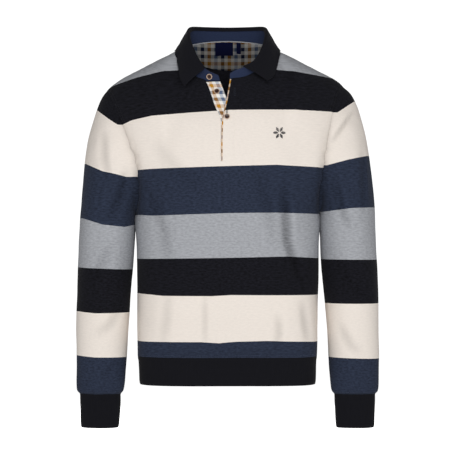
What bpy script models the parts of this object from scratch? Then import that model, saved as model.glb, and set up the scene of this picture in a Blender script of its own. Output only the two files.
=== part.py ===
"""A polo sweatshirt in broad stripes, filled out and hollow, as its wearer leaves it.

It is built from the pieces that are cut and sewn: front, back, two set-in sleeves,
ribbed cuffs and hem band, a turned-down collar on its stand, a short placket with
three buttons, and the facing and label that show inside the open neck.

Metres, +Z up, -Y to the front, +X to the wearer's left. The origin lies on the
centre line, at the level where the neck meets the shoulders.
"""

import math
from collections import namedtuple

import bpy
import numpy as np
from mathutils import Vector
from mathutils.bvhtree import BVHTree

# Cloth
KNIT = 0.0020  # thickness of the brushed sweatshirt knit
RIB = 0.0024  # rib, folded double at cuff and hem
WOVEN = 0.0010  # checked shirting of the facings
LEAF = 0.0022  # collar leaf, two layers
TAPE = 0.0010  # neck label and size tab
SEAM_GAP = 0.0003  # free space between two pieces that are sewn together
LAYER_GAP = 0.0004  # free space between two layers that lie on each other
TRIM_GAP = 0.0012  # the same for the pieces inside the back neck, where the cloth is bent

# Levels of the body
HEM_SEAM_Z = -0.6255
HEM_BOTTOM_Z = -0.6815
UNDERARM_Z = -0.3400
CHEST_Z = -0.2050  # above this level the cloth bends over the shoulders
BODY_STEPS = 7  # rows of cells between the hem seam and the underarm
SHOULDER_STEPS = 6  # rows of cells between the chest level and the shoulder seam

# Neck opening
NECK_Y = -0.006  # the shoulder seams meet the neck at this depth
NECK_HALF_WIDTH = 0.088
NECK_FRONT = 0.084  # from NECK_Y to the front of the neckline
NECK_BACK = 0.072
NECK_SIDE_Z = 0.0068
NECK_BACK_Z = 0.0250

# Placket, 24 mm wide, a little to the wearer's right of the centre line
SLOT_BOTTOM_Z = -0.2320
SLOT_RIGHT_X = -0.0132
SLOT_LEFT_X = 0.0142
UNDER_WIDTH = 0.0286
TOP_WIDTH = 0.0240
FACING_SHOWS = 0.0026  # how far the check facing looks out of the top placket's edge
TOP_PROUD = 0.0014  # the top placket stands this far out of the front panel
UNDER_TUCK = 0.0030  # the under placket reaches this far behind the front panel

# Buttons
BUTTON_RADIUS = 0.00575
BUTTON_HEIGHT = 0.0026

# Collar
STAND = 0.0020
STAND_END_COLUMNS = 2  # columns of the stand past the leaf, at each free end
COLLAR_AXIS_Y = -0.012  # the collar's turns are counted round this axis
ROLL_OUTSIDE = 0.0039  # radius of the leaf where it turns over the stand
LEAF_FALL_STEPS = 5
LEAF_BULGE = 0.0024
LEAF_CLEARANCE = 0.0018  # the leaf lies this far off the body below it

# The half-moon facing inside the back neck, its label and its size tab
MOON_HALF_WIDTH = 0.080
MOON_DEPTH = 0.0565
LABEL_X = (-0.0265, 0.0117)
LABEL_DEPTH = 0.0255
TAB_X = (0.0190, 0.0288)
TAB_DEPTH = 0.0215

FRONT_NECK_COLUMNS = 6
BACK_NECK_COLUMNS = 7
SHOULDER_COLUMNS = 6

RIGHT, LEFT = -1, 1  # the wearer's sides, as the sign of X

# Body sections from hem to chest. right and left are half widths, arm_front and
# arm_back the depths of the armhole seam, power the squareness of the section.
BodyRow = namedtuple("BodyRow", "z right left front back arm_front arm_back power")
BODY_ROWS = [
    BodyRow(HEM_SEAM_Z, 0.1825, 0.1825, 0.103, 0.097, 0, 0, 4.0),
    BodyRow(-0.5900, 0.1835, 0.1835, 0.1155, 0.1070, 0, 0, 3.8),
    BodyRow(-0.5450, 0.1840, 0.1840, 0.119, 0.109, 0, 0, 3.5),
    BodyRow(-0.4600, 0.1850, 0.1850, 0.120, 0.109, 0, 0, 3.2),
    BodyRow(-0.3750, 0.1855, 0.1855, 0.122, 0.112, 0, 0, 2.9),
    BodyRow(UNDERARM_Z, 0.1875, 0.1880, 0.124, 0.114, 0, 0, 2.7),
]
ARMHOLE_ROWS = [
    BodyRow(-0.3330, 0.1860, 0.1875, 0.1245, 0.1150, 0.027, 0.026, 2.6),
    BodyRow(-0.3180, 0.1840, 0.1875, 0.1250, 0.1160, 0.046, 0.044, 2.5),
    BodyRow(-0.2950, 0.1825, 0.1885, 0.1260, 0.1170, 0.059, 0.057, 2.3),
    BodyRow(-0.2650, 0.1825, 0.1920, 0.1270, 0.1180, 0.068, 0.066, 2.1),
    BodyRow(SLOT_BOTTOM_Z, 0.1860, 0.1968, 0.1270, 0.1190, 0.071, 0.070, 2.0),
    BodyRow(CHEST_Z, 0.1950, 0.2000, 0.1260, 0.1200, 0.070, 0.070, 2.0),
]

# The top of the shoulder, the same on both sides as far as each sleeve head.
ShoulderPoint = namedtuple("ShoulderPoint", "x z")
SHOULDER_LINE = [
    ShoulderPoint(NECK_HALF_WIDTH, NECK_SIDE_Z),
    ShoulderPoint(0.126, -0.0123),
    ShoulderPoint(0.158, -0.0287),
    ShoulderPoint(0.190, -0.0450),
    ShoulderPoint(0.207, -0.0533),
    ShoulderPoint(0.221, -0.0615),
    ShoulderPoint(0.237, -0.0730),
    ShoulderPoint(0.249, -0.0845),
]

# Each side of the front neckline: where the shoulder seam ends, and how far and
# how squarely the neckline drops to the slot.
NeckSide = namedtuple("NeckSide", "tip_x drop power slot_x slot_top_x")
NECK_SIDES = {
    RIGHT: NeckSide(0.249, 0.0820, 2.6, SLOT_RIGHT_X, -0.0440),
    LEFT: NeckSide(0.237, 0.0740, 2.0, SLOT_LEFT_X, 0.0315),
}

# The slot's two edges between the chest and the neckline: closed up below the
# lower button, then spread apart by the open collar.
SlotRow = namedtuple("SlotRow", "z right left")
SLOT_ROWS = [
    SlotRow(-0.1720, SLOT_RIGHT_X, SLOT_LEFT_X),
    SlotRow(-0.1490, -0.0136, 0.0152),
    SlotRow(-0.1340, -0.0188, 0.0180),
    SlotRow(-0.1180, -0.0268, 0.0222),
    SlotRow(-0.0960, -0.0332, 0.0264),
    SlotRow(-0.0660, -0.0436, 0.0312),
]
SLOT_FOLLOWS = (1, 0.60, 0.30, 0.10)  # share of an edge's bend in the columns beside it

# Sleeve rings below the armhole. Each lies between its outer and its inner point.
SleeveRing = namedtuple("SleeveRing", "outer_x outer_z inner_x inner_z half_depth y")
SLEEVE_RINGS = [
    SleeveRing(0.2640, -0.1125, 0.1895, -0.3425, 0.0735, -0.001),
    SleeveRing(0.2755, -0.1475, 0.1895, -0.3455, 0.0765, -0.002),
    SleeveRing(0.2860, -0.1900, 0.1895, -0.3490, 0.0785, -0.004),
    SleeveRing(0.2925, -0.2380, 0.1895, -0.3530, 0.0785, -0.006),
    SleeveRing(0.2975, -0.2880, 0.1897, -0.3585, 0.0765, -0.008),
    SleeveRing(0.3010, -0.3380, 0.1900, -0.3680, 0.0740, -0.010),
    SleeveRing(0.3030, -0.3860, 0.1905, -0.3870, 0.0702, -0.012),
    SleeveRing(0.3050, -0.4300, 0.1920, -0.4300, 0.0652, -0.014),
    SleeveRing(0.3065, -0.4750, 0.1950, -0.4750, 0.0590, -0.016),
    SleeveRing(0.3075, -0.5250, 0.1990, -0.5250, 0.0528, -0.019),
    SleeveRing(0.3080, -0.5750, 0.2025, -0.5750, 0.0468, -0.022),
    SleeveRing(0.3080, -0.6250, 0.2050, -0.6250, 0.0418, -0.025),
    SleeveRing(0.3078, -0.6700, 0.2080, -0.6700, 0.0372, -0.027),
    SleeveRing(0.3074, -0.6880, 0.2100, -0.6880, 0.0348, -0.028),
    SleeveRing(0.3055, -0.6970, 0.2125, -0.6970, 0.0320, -0.028),
    SleeveRing(0.3010, -0.7020, 0.2170, -0.7020, 0.0255, -0.028),
]
CUFF_RINGS = [
    SleeveRing(0.3008, -0.7100, 0.2172, -0.7100, 0.0252, -0.028),
    SleeveRing(0.3000, -0.7350, 0.2185, -0.7350, 0.0248, -0.029),
    SleeveRing(0.2990, -0.7620, 0.2205, -0.7620, 0.0242, -0.030),
    SleeveRing(0.2970, -0.7700, 0.2225, -0.7700, 0.0225, -0.030),
]
SLEEVE_FADE_RINGS = 7  # over these the armhole's own shape gives way to the rings'

# Hem band: its width and depth as a share of the body's at the hem seam.
BandRow = namedtuple("BandRow", "z share")
BAND_ROWS = [
    BandRow(-0.6320, 0.994),
    BandRow(-0.6500, 0.990),
    BandRow(-0.6720, 0.989),
    BandRow(HEM_BOTTOM_Z, 0.982),
]

# The collar's two rails. turn is the angle round the neck in degrees, from the
# front over the wearer's right (90) and the back (180) to the left (270).
RailPoint = namedtuple("RailPoint", "turn x y z")
ROLL_RIGHT_END = [
    RailPoint(10, -0.0165, -0.0900, -0.0545),
    RailPoint(29, -0.0410, -0.0855, -0.0490),
    RailPoint(39, -0.0525, -0.0765, -0.0370),
]
ROLL_SIDE = [
    RailPoint(56, -0.0665, -0.0560, -0.0120),
    RailPoint(75, -0.0775, -0.0330, 0.0160),
    RailPoint(95, -0.0802, -0.0050, 0.0350),
    RailPoint(115, -0.0772, 0.0225, 0.0462),
    RailPoint(140, -0.0545, 0.0490, 0.0488),
    RailPoint(160, -0.0258, 0.0600, 0.0490),
]
BACK_OF_ROLL = RailPoint(180, 0.0, 0.0640, 0.0490)
ROLL_LEFT_END = [
    RailPoint(321, 0.0525, -0.0765, -0.0330),
    RailPoint(336, 0.0345, -0.0855, -0.0415),
    RailPoint(354, 0.0080, -0.0895, -0.0490),
]
EDGE_RIGHT_END = [
    RailPoint(29, -0.0840, -0.1060, -0.0850),
    RailPoint(39, -0.0940, -0.0930, -0.0700),
]
EDGE_SIDE = [
    RailPoint(56, -0.0990, -0.0640, -0.0440),
    RailPoint(75, -0.1032, -0.0360, -0.0220),
    RailPoint(95, -0.1040, -0.0020, -0.0022),
    RailPoint(115, -0.0975, 0.0350, 0.0005),
    RailPoint(140, -0.0680, 0.0680, 0.0020),
    RailPoint(160, -0.0350, 0.0810, 0.0030),
]
BACK_OF_EDGE = RailPoint(180, 0.0, 0.0840, 0.0040)
EDGE_LEFT_END = [
    RailPoint(321, 0.0930, -0.0900, -0.0600),
    RailPoint(336, 0.0810, -0.1030, -0.0690),
]

# Soft folds of the body, from (x1, z1) to (x2, z2). A fold pushed in is negative.
Fold = namedtuple("Fold", "x1 z1 x2 z2 width depth")
FRONT_FOLDS = [
    Fold(0.095, -0.300, 0.160, -0.470, 0.022, -0.0035),
    Fold(0.125, -0.330, 0.178, -0.500, 0.020, 0.0025),
    Fold(-0.048, -0.500, -0.050, -0.610, 0.013, -0.0025),
    Fold(0.095, -0.540, 0.075, -0.600, 0.014, -0.0025),
    Fold(-0.160, -0.400, -0.120, -0.560, 0.024, 0.0025),
    Fold(-0.150, -0.240, -0.110, -0.150, 0.018, -0.0020),
    Fold(0.155, -0.250, 0.120, -0.150, 0.018, -0.0020),
]
BACK_FOLDS = [
    Fold(-0.120, -0.280, -0.060, -0.470, 0.024, -0.0040),
    Fold(0.130, -0.260, 0.080, -0.420, 0.024, -0.0035),
    Fold(-0.050, -0.530, -0.070, -0.610, 0.016, 0.0030),
    Fold(0.060, -0.500, 0.045, -0.610, 0.016, -0.0030),
    Fold(0.140, -0.430, 0.120, -0.580, 0.022, 0.0025),
]
# Folds of a sleeve, in turns round it (0 underarm, 0.25 front, 0.5 outside).
SleeveFold = namedtuple("SleeveFold", "turn1 z1 turn2 z2 width depth")
SLEEVE_FOLDS = {
    RIGHT: [
        SleeveFold(0.17, -0.290, 0.30, -0.400, 0.020, -0.0035),
        SleeveFold(0.10, -0.450, 0.32, -0.500, 0.018, -0.0020),
        SleeveFold(0.60, -0.430, 0.90, -0.500, 0.020, -0.0030),
        SleeveFold(0.62, -0.600, 0.88, -0.650, 0.018, -0.0025),
    ],
    LEFT: [
        SleeveFold(0.42, -0.120, 0.25, -0.190, 0.018, -0.0030),
        SleeveFold(0.36, -0.220, 0.34, -0.340, 0.014, 0.0020),
        SleeveFold(0.12, -0.430, 0.30, -0.480, 0.018, -0.0020),
        SleeveFold(0.60, -0.400, 0.88, -0.470, 0.020, -0.0030),
        SleeveFold(0.64, -0.590, 0.90, -0.640, 0.018, -0.0025),
    ],
}

# Colours, and the levels at which the stripes change from the top down.
BLACK = "191A20"
CREAM = "EBE2D9"
BLUE = "2C3445"
GREY = "989AA0"
STAND_NAVY = "2A3550"
CHECK_GROUND = "D9D2C4"
HORN = "5A3524"
STRIPES = [GREY, BLACK, CREAM, BLUE, GREY, BLACK, CREAM, BLUE]
BODY_STRIPE_Z = [-0.047, -0.1295, -0.2417, -0.3351, -0.4245, -0.4980, -0.5902]
SLEEVE_STRIPE_Z = [-0.047, -0.1430, -0.2500, -0.3530, -0.4457, -0.5345, -0.6230]


# ---------------------------------------------------------------- materials


def linear(hex_colour):
    """An sRGB colour in hex as linear values with alpha."""
    channels = [int(hex_colour[i : i + 2], 16) / 255 for i in (0, 2, 4)]
    curve = [c / 12.92 if c <= 0.04045 else ((c + 0.055) / 1.055) ** 2.4 for c in channels]
    return (*curve, 1.0)


def plain_material(name, colour, roughness=0.9):
    material = bpy.data.materials.new(name)
    material.use_nodes = True
    shader = material.node_tree.nodes["Principled BSDF"]
    shader.inputs["Base Color"].default_value = linear(colour)
    shader.inputs["Roughness"].default_value = roughness
    shader.inputs["Metallic"].default_value = 0.0
    return material


def striped_material(name, levels):
    """Cloth whose colour changes at each level, read from the height in the part's frame."""
    material = plain_material(name, CREAM)
    nodes, links = material.node_tree.nodes, material.node_tree.links
    place = nodes.new("ShaderNodeTexCoord")
    height = nodes.new("ShaderNodeSeparateXYZ")
    share = nodes.new("ShaderNodeMapRange")
    share.inputs["From Min"].default_value = 0.0
    share.inputs["From Max"].default_value = -1.0
    ramp = nodes.new("ShaderNodeValToRGB")
    ramp.color_ramp.interpolation = "CONSTANT"
    ramp.color_ramp.elements[0].color = linear(STRIPES[0])
    ramp.color_ramp.elements.remove(ramp.color_ramp.elements[1])
    for level, colour in zip(levels, STRIPES[1:]):
        ramp.color_ramp.elements.new(-level).color = linear(colour)
    links.new(place.outputs["Object"], height.inputs["Vector"])
    links.new(height.outputs["Z"], share.inputs["Value"])
    links.new(share.outputs["Result"], ramp.inputs["Fac"])
    links.new(ramp.outputs["Color"], nodes["Principled BSDF"].inputs["Base Color"])
    return material


# ---------------------------------------------------------------- curves


def unit(vectors):
    """Vectors of length one, along the last axis."""
    length = np.linalg.norm(vectors, axis=-1, keepdims=True)
    return vectors / np.maximum(length, 1e-12)


def resampled(points, cells):
    """The same polyline with its points at equal distances."""
    steps = np.linalg.norm(np.diff(points, axis=0), axis=1)
    along = np.concatenate([[0], np.cumsum(steps)])
    places = np.linspace(0, along[-1], cells + 1)
    return np.column_stack([np.interp(places, along, values) for values in points.T])


def smooth_rows(keys, values, places):
    """Values at the places, on a smooth curve through the keys (Catmull-Rom)."""
    keys = np.asarray(keys, float)
    values = np.asarray(values, float)
    slopes = np.gradient(values, keys, axis=0)
    result = []
    for place in places:
        i = int(np.clip(np.searchsorted(keys, place) - 1, 0, len(keys) - 2))
        span = keys[i + 1] - keys[i]
        t = (place - keys[i]) / span
        result.append(
            (2 * t**3 - 3 * t**2 + 1) * values[i]
            + (t**3 - 2 * t**2 + t) * span * slopes[i]
            + (3 * t**2 - 2 * t**3) * values[i + 1]
            + (t**3 - t**2) * span * slopes[i + 1]
        )
    return np.array(result)


def hermite(start, end, start_pull, end_pull, t):
    return (
        (2 * t**3 - 3 * t**2 + 1) * start
        + (t**3 - 2 * t**2 + t) * start_pull
        + (3 * t**2 - 2 * t**3) * end
        + (t**3 - t**2) * end_pull
    )


# ---------------------------------------------------------------- walls


class Piece:
    """One cut piece as a grid of outer points, with what its wall needs."""

    def __init__(self, name, grid, wall, hub, ring=False, keep=None, gaps=(), part=0.5):
        self.name = name
        self.grid = grid
        self.wall = wall
        self.hub = hub  # a point inside the garment for each row, or one for all
        self.ring = ring  # the last column joins the first
        self.keep = keep  # which cells are cloth, or None for all
        self.gaps = gaps  # the edges that meet another piece
        self.part = part  # this piece's share of the seam gap
        self.turned = self.faces_in()

    def cells(self):
        rows, columns = self.grid.shape[:2]
        for r in range(rows - 1):
            for c in range(columns if self.ring else columns - 1):
                if self.keep is None or self.keep[r][c]:
                    yield r, c

    def corners(self, r, c):
        columns = self.grid.shape[1]
        after = (c + 1) % columns
        return [(r, c), (r, after), (r + 1, after), (r + 1, c)]

    def cell_normal(self, r, c):
        a, b, d, e = (self.grid[corner] for corner in self.corners(r, c))
        return np.cross(d - a, e - b)

    def faces_in(self):
        """Whether the cells, as they are wound, face the inside of the garment."""
        total = 0.0
        hub = np.broadcast_to(self.hub, (self.grid.shape[0], 3))
        for r, c in self.cells():
            outward = self.grid[r, c] - hub[r]
            total += float(np.dot(self.cell_normal(r, c), outward))
        return total < 0


def key_of(point):
    return tuple(np.round(np.asarray(point) * 1e6).astype(int))


def shared_normals(pieces):
    """At each outer point the mean normal of all pieces that meet there, by place."""
    sums = {}
    for piece in pieces:
        sign = -1 if piece.turned else 1
        for r, c in piece.cells():
            normal = sign * piece.cell_normal(r, c)
            for corner in piece.corners(r, c):
                key = key_of(piece.grid[corner])
                sums[key] = sums.get(key, 0) + normal
    return {key: unit(total) for key, total in sums.items()}


def parted(piece, inner):
    """Outer and inner grids drawn back from the seams by half a gap each."""
    outer = piece.grid.copy()
    inner = inner.copy()
    inward = {
        "first_row": (np.s_[0, :], np.s_[1, :]),
        "last_row": (np.s_[-1, :], np.s_[-2, :]),
        "first_column": (np.s_[:, 0], np.s_[:, 1]),
        "last_column": (np.s_[:, -1], np.s_[:, -2]),
    }
    for edge in piece.gaps:
        here, beside = inward[edge]
        step = unit(piece.grid[beside] - piece.grid[here]) * SEAM_GAP * piece.part
        outer[here] += step
        inner[here] += step
    return outer, inner


def wall_mesh(piece, outer, inner):
    """A closed wall between two grids. Both sides split each cell on one diagonal."""
    rows, columns = outer.shape[:2]
    points = np.concatenate([outer.reshape(-1, 3), inner.reshape(-1, 3)])

    def index(side, corner):
        return side * rows * columns + corner[0] * columns + corner[1]

    faces = []
    edges = set()
    for r, c in piece.cells():
        loop = piece.corners(r, c)
        if piece.turned:
            loop = [loop[0], loop[3], loop[2], loop[1]]
        a, b, d, e = loop
        faces.append([index(0, corner) for corner in (a, b, d, e)])
        faces.append([index(1, corner) for corner in (a, e, d, b)])
        edges.update([(a, b), (b, d), (d, e), (e, a)])
    for a, b in sorted(edges):
        if (b, a) not in edges:
            faces.append([index(0, b), index(0, a), index(1, a), index(1, b)])
    mesh = bpy.data.meshes.new(piece.name)
    mesh.from_pydata(points.tolist(), [], faces)
    mesh.update()
    mesh.shade_smooth()
    mesh.set_sharp_from_angle(angle=math.radians(50))
    return mesh


def add_object(name, mesh, material, collection):
    mesh.materials.append(material)
    created = bpy.data.objects.new(name, mesh)
    collection.objects.link(created)
    return created


def surface_tree(pieces):
    """The outer surfaces of some pieces, for resting other pieces on them."""
    points, faces = [], []
    for piece in pieces:
        start = len(points)
        columns = piece.grid.shape[1]
        points.extend(piece.grid.reshape(-1, 3).tolist())
        for r, c in piece.cells():
            loop = [start + row * columns + column for row, column in piece.corners(r, c)]
            faces.append(loop[::-1] if piece.turned else loop)
    return BVHTree.FromPolygons(points, faces)


def lifted_point(point, tree, clearance):
    """A point moved out of a surface until it clears it by the given distance."""
    point = point.copy()
    for _ in range(3):
        near, normal, _, distance = tree.find_nearest(Vector(point))
        outside = (Vector(point) - near).dot(normal)
        if distance > 2 * clearance and outside > 0 or outside >= clearance:
            break
        point += np.array(normal) * (clearance - outside)
    return point


def lifted(points, tree, clearance):
    """A grid moved out of a surface, at its points and halfway along its rows."""
    result = points.copy()
    for _ in range(2):
        for place in np.ndindex(points.shape[:-1]):
            result[place] = lifted_point(result[place], tree, clearance)
        for r, c in np.ndindex(points.shape[0], points.shape[1] - 1):
            middle = (result[r, c] + result[r, c + 1]) / 2
            move = lifted_point(middle, tree, clearance) - middle
            result[r, c] += move
            result[r, c + 1] += move
    return result


# ---------------------------------------------------------------- body


def shoulder_z(x):
    return np.interp(x, [p.x for p in SHOULDER_LINE], [p.z for p in SHOULDER_LINE])


def half_section(row, side, front):
    """The section of one quarter of the body, from the centre line to its side."""
    width = row.left if side == LEFT else row.right
    depth = row.front if front else row.back
    edge = row.arm_front if front else row.arm_back
    last = math.acos((edge / depth) ** (row.power / 2))
    reach = width / math.sin(last) ** (2 / row.power)
    angle = np.linspace(0, last, 90)
    x = side * reach * np.maximum(np.sin(angle), 0) ** (2 / row.power)
    y = (-depth if front else depth) * np.maximum(np.cos(angle), 0) ** (2 / row.power)
    y[-1] = -edge if front else edge
    return np.column_stack([x, y, np.full(len(x), row.z)])


def from_x(section, x):
    """The part of a quarter section that lies beyond x, starting exactly there."""
    beyond = np.abs(section[:, 0]) > abs(x) + 1e-6
    order = np.argsort(np.abs(section[:, 0]))
    y = np.interp(abs(x), np.abs(section[order, 0]), section[order, 1])
    start = np.array([[x, y, section[0, 2]]])
    return np.concatenate([start, section[beyond]])


def front_row(row):
    blocks = []
    for side in (RIGHT, LEFT):
        section = from_x(half_section(row, side, True), NECK_SIDES[side].slot_x)
        cells = FRONT_NECK_COLUMNS + SHOULDER_COLUMNS
        blocks.append(resampled(section, cells))
    return np.concatenate([blocks[0][::-1], blocks[1]])


def back_row(row):
    cells = BACK_NECK_COLUMNS + SHOULDER_COLUMNS
    right = resampled(half_section(row, RIGHT, False), cells)
    left = resampled(half_section(row, LEFT, False), cells)
    return np.concatenate([right[::-1], left[1:]])


def shoulder_points(side):
    """The shoulder seam of one side, from the neck to the sleeve head."""
    tip = NECK_SIDES[side].tip_x
    x = np.linspace(NECK_HALF_WIDTH, tip, SHOULDER_COLUMNS + 1)
    y = np.linspace(NECK_Y, 0.004, SHOULDER_COLUMNS + 1)
    return np.column_stack([side * x, y, shoulder_z(x)])


def front_neckline(side):
    """From the slot up to the shoulder seam, square near the slot."""
    spec = NECK_SIDES[side]
    first = math.asin((abs(spec.slot_top_x) / NECK_HALF_WIDTH) ** (spec.power / 2))
    angle = np.linspace(first, math.pi / 2, FRONT_NECK_COLUMNS + 1)
    along = np.sin(angle) ** (2 / spec.power)
    drop = np.maximum(np.cos(angle), 0) ** (2 / spec.power)
    plan = np.maximum(1 - along**2.3, 0) ** (1 / 2.3)
    x = side * NECK_HALF_WIDTH * along
    return np.column_stack([x, NECK_Y - NECK_FRONT * plan, NECK_SIDE_Z - spec.drop * drop])


def back_neckline(side):
    """From the centre back to the shoulder seam."""
    angle = np.linspace(0, math.pi / 2, BACK_NECK_COLUMNS + 1)
    x = side * NECK_HALF_WIDTH * np.sin(angle)
    rise = np.cos(angle)
    y = NECK_Y + NECK_BACK * rise
    z = NECK_SIDE_Z + (NECK_BACK_Z - NECK_SIDE_Z) * rise**1.3
    return np.column_stack([x, y, z])


def top_row(front):
    """The upper edge of the front or the back: neckline and shoulder seams."""
    halves = []
    for side in (RIGHT, LEFT):
        neckline = front_neckline(side) if front else back_neckline(side)
        halves.append(np.concatenate([neckline, shoulder_points(side)[1:]]))
    left = halves[1] if front else halves[1][1:]
    return np.concatenate([halves[0][::-1], left])


def end_pulls(top, front):
    """The direction in which each column of cloth reaches the top row."""
    back = 1 if front else -1
    neck_columns = FRONT_NECK_COLUMNS if front else BACK_NECK_COLUMNS
    middle = (len(top) - 1) / 2
    pulls = []
    for i in range(len(top)):
        from_end = min(i, len(top) - 1 - i)
        side = -1 if i < middle else 1
        at_edge = 1 - min(from_end, 2) / 2
        over_shoulder = np.array([side * 0.20 * at_edge, back * 1.0, 0.05])
        beside_neck = np.array([side * -0.60, back * 0.62, 0.50])
        up_neck = np.array([0, back * 0.45, 0.90])
        if from_end < SHOULDER_COLUMNS:
            share = max(0, (from_end - SHOULDER_COLUMNS + 2) / 2)
            pulls.append(unit(over_shoulder * (1 - share) + beside_neck * share))
        else:
            share = (from_end - SHOULDER_COLUMNS) / neck_columns
            pulls.append(unit(beside_neck * (1 - share) + up_neck * share))
    return np.array(pulls)


def body_grid(front):
    """The outer points of the front or the back, from the hem seam to the neck."""
    keys = [row.z for row in BODY_ROWS]
    levels = np.linspace(HEM_SEAM_Z, UNDERARM_Z, BODY_STEPS + 1)
    lower = [BodyRow(*values) for values in smooth_rows(keys, BODY_ROWS, levels)]
    row_points = front_row if front else back_row
    rows = [row_points(row) for row in lower[:-1] + [BODY_ROWS[-1]] + ARMHOLE_ROWS]
    chest, below = rows[-1], rows[-2]
    top = top_row(front)
    reach = np.linalg.norm(top - chest, axis=1, keepdims=True)
    start_pull = unit(chest - below) * reach * 1.1
    end_pull = end_pulls(top, front) * reach * 1.1
    for step in range(1, SHOULDER_STEPS):
        t = step / SHOULDER_STEPS
        t = t + 0.12 * math.sin(2 * math.pi * t) / 2
        rows.append(hermite(chest, top, start_pull, end_pull, t))
        if front:
            bend_slot(rows[-1])
    rows.append(top)
    return np.array(rows)


def bend_slot(row):
    """Move the two columns at the slot to its edges, and those beside them after."""
    middle = FRONT_NECK_COLUMNS + SHOULDER_COLUMNS
    levels = [line.z for line in SLOT_ROWS]
    for side, column in ((RIGHT, middle), (LEFT, middle + 1)):
        edges = [line.right if side == RIGHT else line.left for line in SLOT_ROWS]
        shift = np.interp(row[column, 2], levels, edges) - row[column, 0]
        for step, share in enumerate(SLOT_FOLLOWS):
            row[column + side * step, 0] += shift * share


def folded(grid, folds, outward):
    """The grid with soft folds pressed in or raised. Its edges stay where they are."""
    result = grid.copy()
    columns = grid.shape[1]
    for r in range(1, grid.shape[0] - 1):
        for c in range(1, columns - 1):
            edge = min(c, columns - 1 - c, 2 * r) / 3
            x, _, z = grid[r, c]
            move = sum(fold_depth(fold, x, z) for fold in folds)
            result[r, c, 1] += outward * move * min(edge, 1)
    return result


def fold_depth(fold, across, down):
    """How far one fold moves the cloth at a place, fading to nothing at its ends."""
    start = np.array([fold[0], fold[1]])
    line = np.array([fold[2], fold[3]]) - start
    place = np.array([across, down]) - start
    along = np.dot(place, line) / np.dot(line, line)
    aside = np.linalg.norm(place - np.clip(along, 0, 1) * line)
    return fold.depth * math.exp(-((aside / fold.width) ** 2))


def slot_cells(grid):
    """Which cells of the front are cloth: all but the slot for the placket."""
    rows, columns = grid.shape[:2]
    middle = FRONT_NECK_COLUMNS + SHOULDER_COLUMNS
    slot_row = BODY_STEPS + len(ARMHOLE_ROWS) - 1
    return [[r < slot_row or c != middle for c in range(columns - 1)] for r in range(rows - 1)]


# ---------------------------------------------------------------- sleeves


def armhole_loop(front, back, side):
    """The armhole seam, from the underarm up the front and down the back."""
    column = 0 if side == RIGHT else -1
    first = BODY_STEPS
    up = front[first:, column]
    down = back[first:, column][::-1]
    return np.concatenate([up, down[1:-1]])


def loop_turns(loop):
    """The place of each loop point in turns: 0 at the underarm, 0.5 at the top."""
    steps = np.linalg.norm(np.roll(loop, -1, axis=0) - loop, axis=1)
    along = np.concatenate([[0], np.cumsum(steps)])
    half = len(loop) // 2
    up = 0.5 * along[: half + 1] / along[half]
    down = 0.5 + 0.5 * (along[half:] - along[half]) / (along[-1] - along[half])
    return np.concatenate([up, down[1:-1]])


def ring_points(ring, side, turns):
    """An oval ring of a sleeve, at the given turns round it."""
    outer = np.array([side * ring.outer_x, ring.y, ring.outer_z])
    inner = np.array([side * ring.inner_x, ring.y, ring.inner_z])
    angle = 2 * math.pi * turns[:, None]
    middle = (outer + inner) / 2
    across = (inner - outer) / 2
    depth = np.array([0, -ring.half_depth, 0])
    return middle + across * np.cos(angle) + depth * np.sin(angle)


def sleeve_grid(loop, side):
    """The outer points of a sleeve, from the armhole seam to the cuff seam."""
    seam_turns = loop_turns(loop)
    even_turns = np.arange(len(loop)) / len(loop)
    half = len(loop) // 2
    seam_ring = SleeveRing(
        side * loop[half, 0], loop[half, 2], side * loop[0, 0], loop[0, 2], 0.0705, 0.0
    )
    own_shape = loop - ring_points(seam_ring, side, seam_turns)
    rows = [loop]
    for number, ring in enumerate(SLEEVE_RINGS, start=1):
        share = min(number / SLEEVE_FADE_RINGS, 1)
        turns = seam_turns * (1 - share) + even_turns * share
        row = ring_points(ring, side, turns) + own_shape * (1 - share) ** 2
        if number < len(SLEEVE_RINGS):
            folds = SLEEVE_FOLDS[side]
            press = [sum(sleeve_fold_depth(fold, ring, turn) for fold in folds) for turn in turns]
            row += unit(row - row.mean(axis=0)) * np.array(press)[:, None]
        rows.append(row)
    return np.array(rows)


def sleeve_fold_depth(fold, ring, turn):
    """A sleeve's fold, measured on the cloth: turns become lengths round the ring."""
    height = ring.outer_z + (ring.inner_z - ring.outer_z) * (1 + math.cos(2 * math.pi * turn)) / 2
    girth = math.pi * (ring.half_depth + (ring.outer_x - ring.inner_x) / 2)
    on_cloth = Fold(
        fold.turn1 * girth, fold.z1, fold.turn2 * girth, fold.z2, fold.width, fold.depth
    )
    return fold_depth(on_cloth, turn * girth, height)


def cuff_grid(sleeve, side):
    turns = np.arange(sleeve.shape[1]) / sleeve.shape[1]
    return np.array([sleeve[-1]] + [ring_points(ring, side, turns) for ring in CUFF_RINGS])


def band_grid(front, back):
    """The hem band, hanging from the lower edges of front and back."""
    seam = np.concatenate([front[0], back[0][::-1][1:-1]])
    rows = [seam]
    for row in BAND_ROWS:
        ring = seam * np.array([row.share, row.share, 0])
        ring[:, 2] = row.z
        rows.append(ring)
    return np.array(rows)


# ---------------------------------------------------------------- collar


def mirrored(points):
    """The same rail points on the wearer's left, in the order of their turns."""
    return [RailPoint(360 - p.turn, -p.x, p.y, p.z) for p in reversed(points)]


def rail(points, turns):
    keys = [point.turn for point in points]
    return smooth_rows(keys, [point[1:] for point in points], turns)


ROLL = (
    ROLL_RIGHT_END + ROLL_SIDE + [BACK_OF_ROLL] + mirrored(ROLL_SIDE) + ROLL_LEFT_END
)
LEAF_EDGE = (
    EDGE_RIGHT_END + EDGE_SIDE + [BACK_OF_EDGE] + mirrored(EDGE_SIDE) + EDGE_LEFT_END
)


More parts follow.
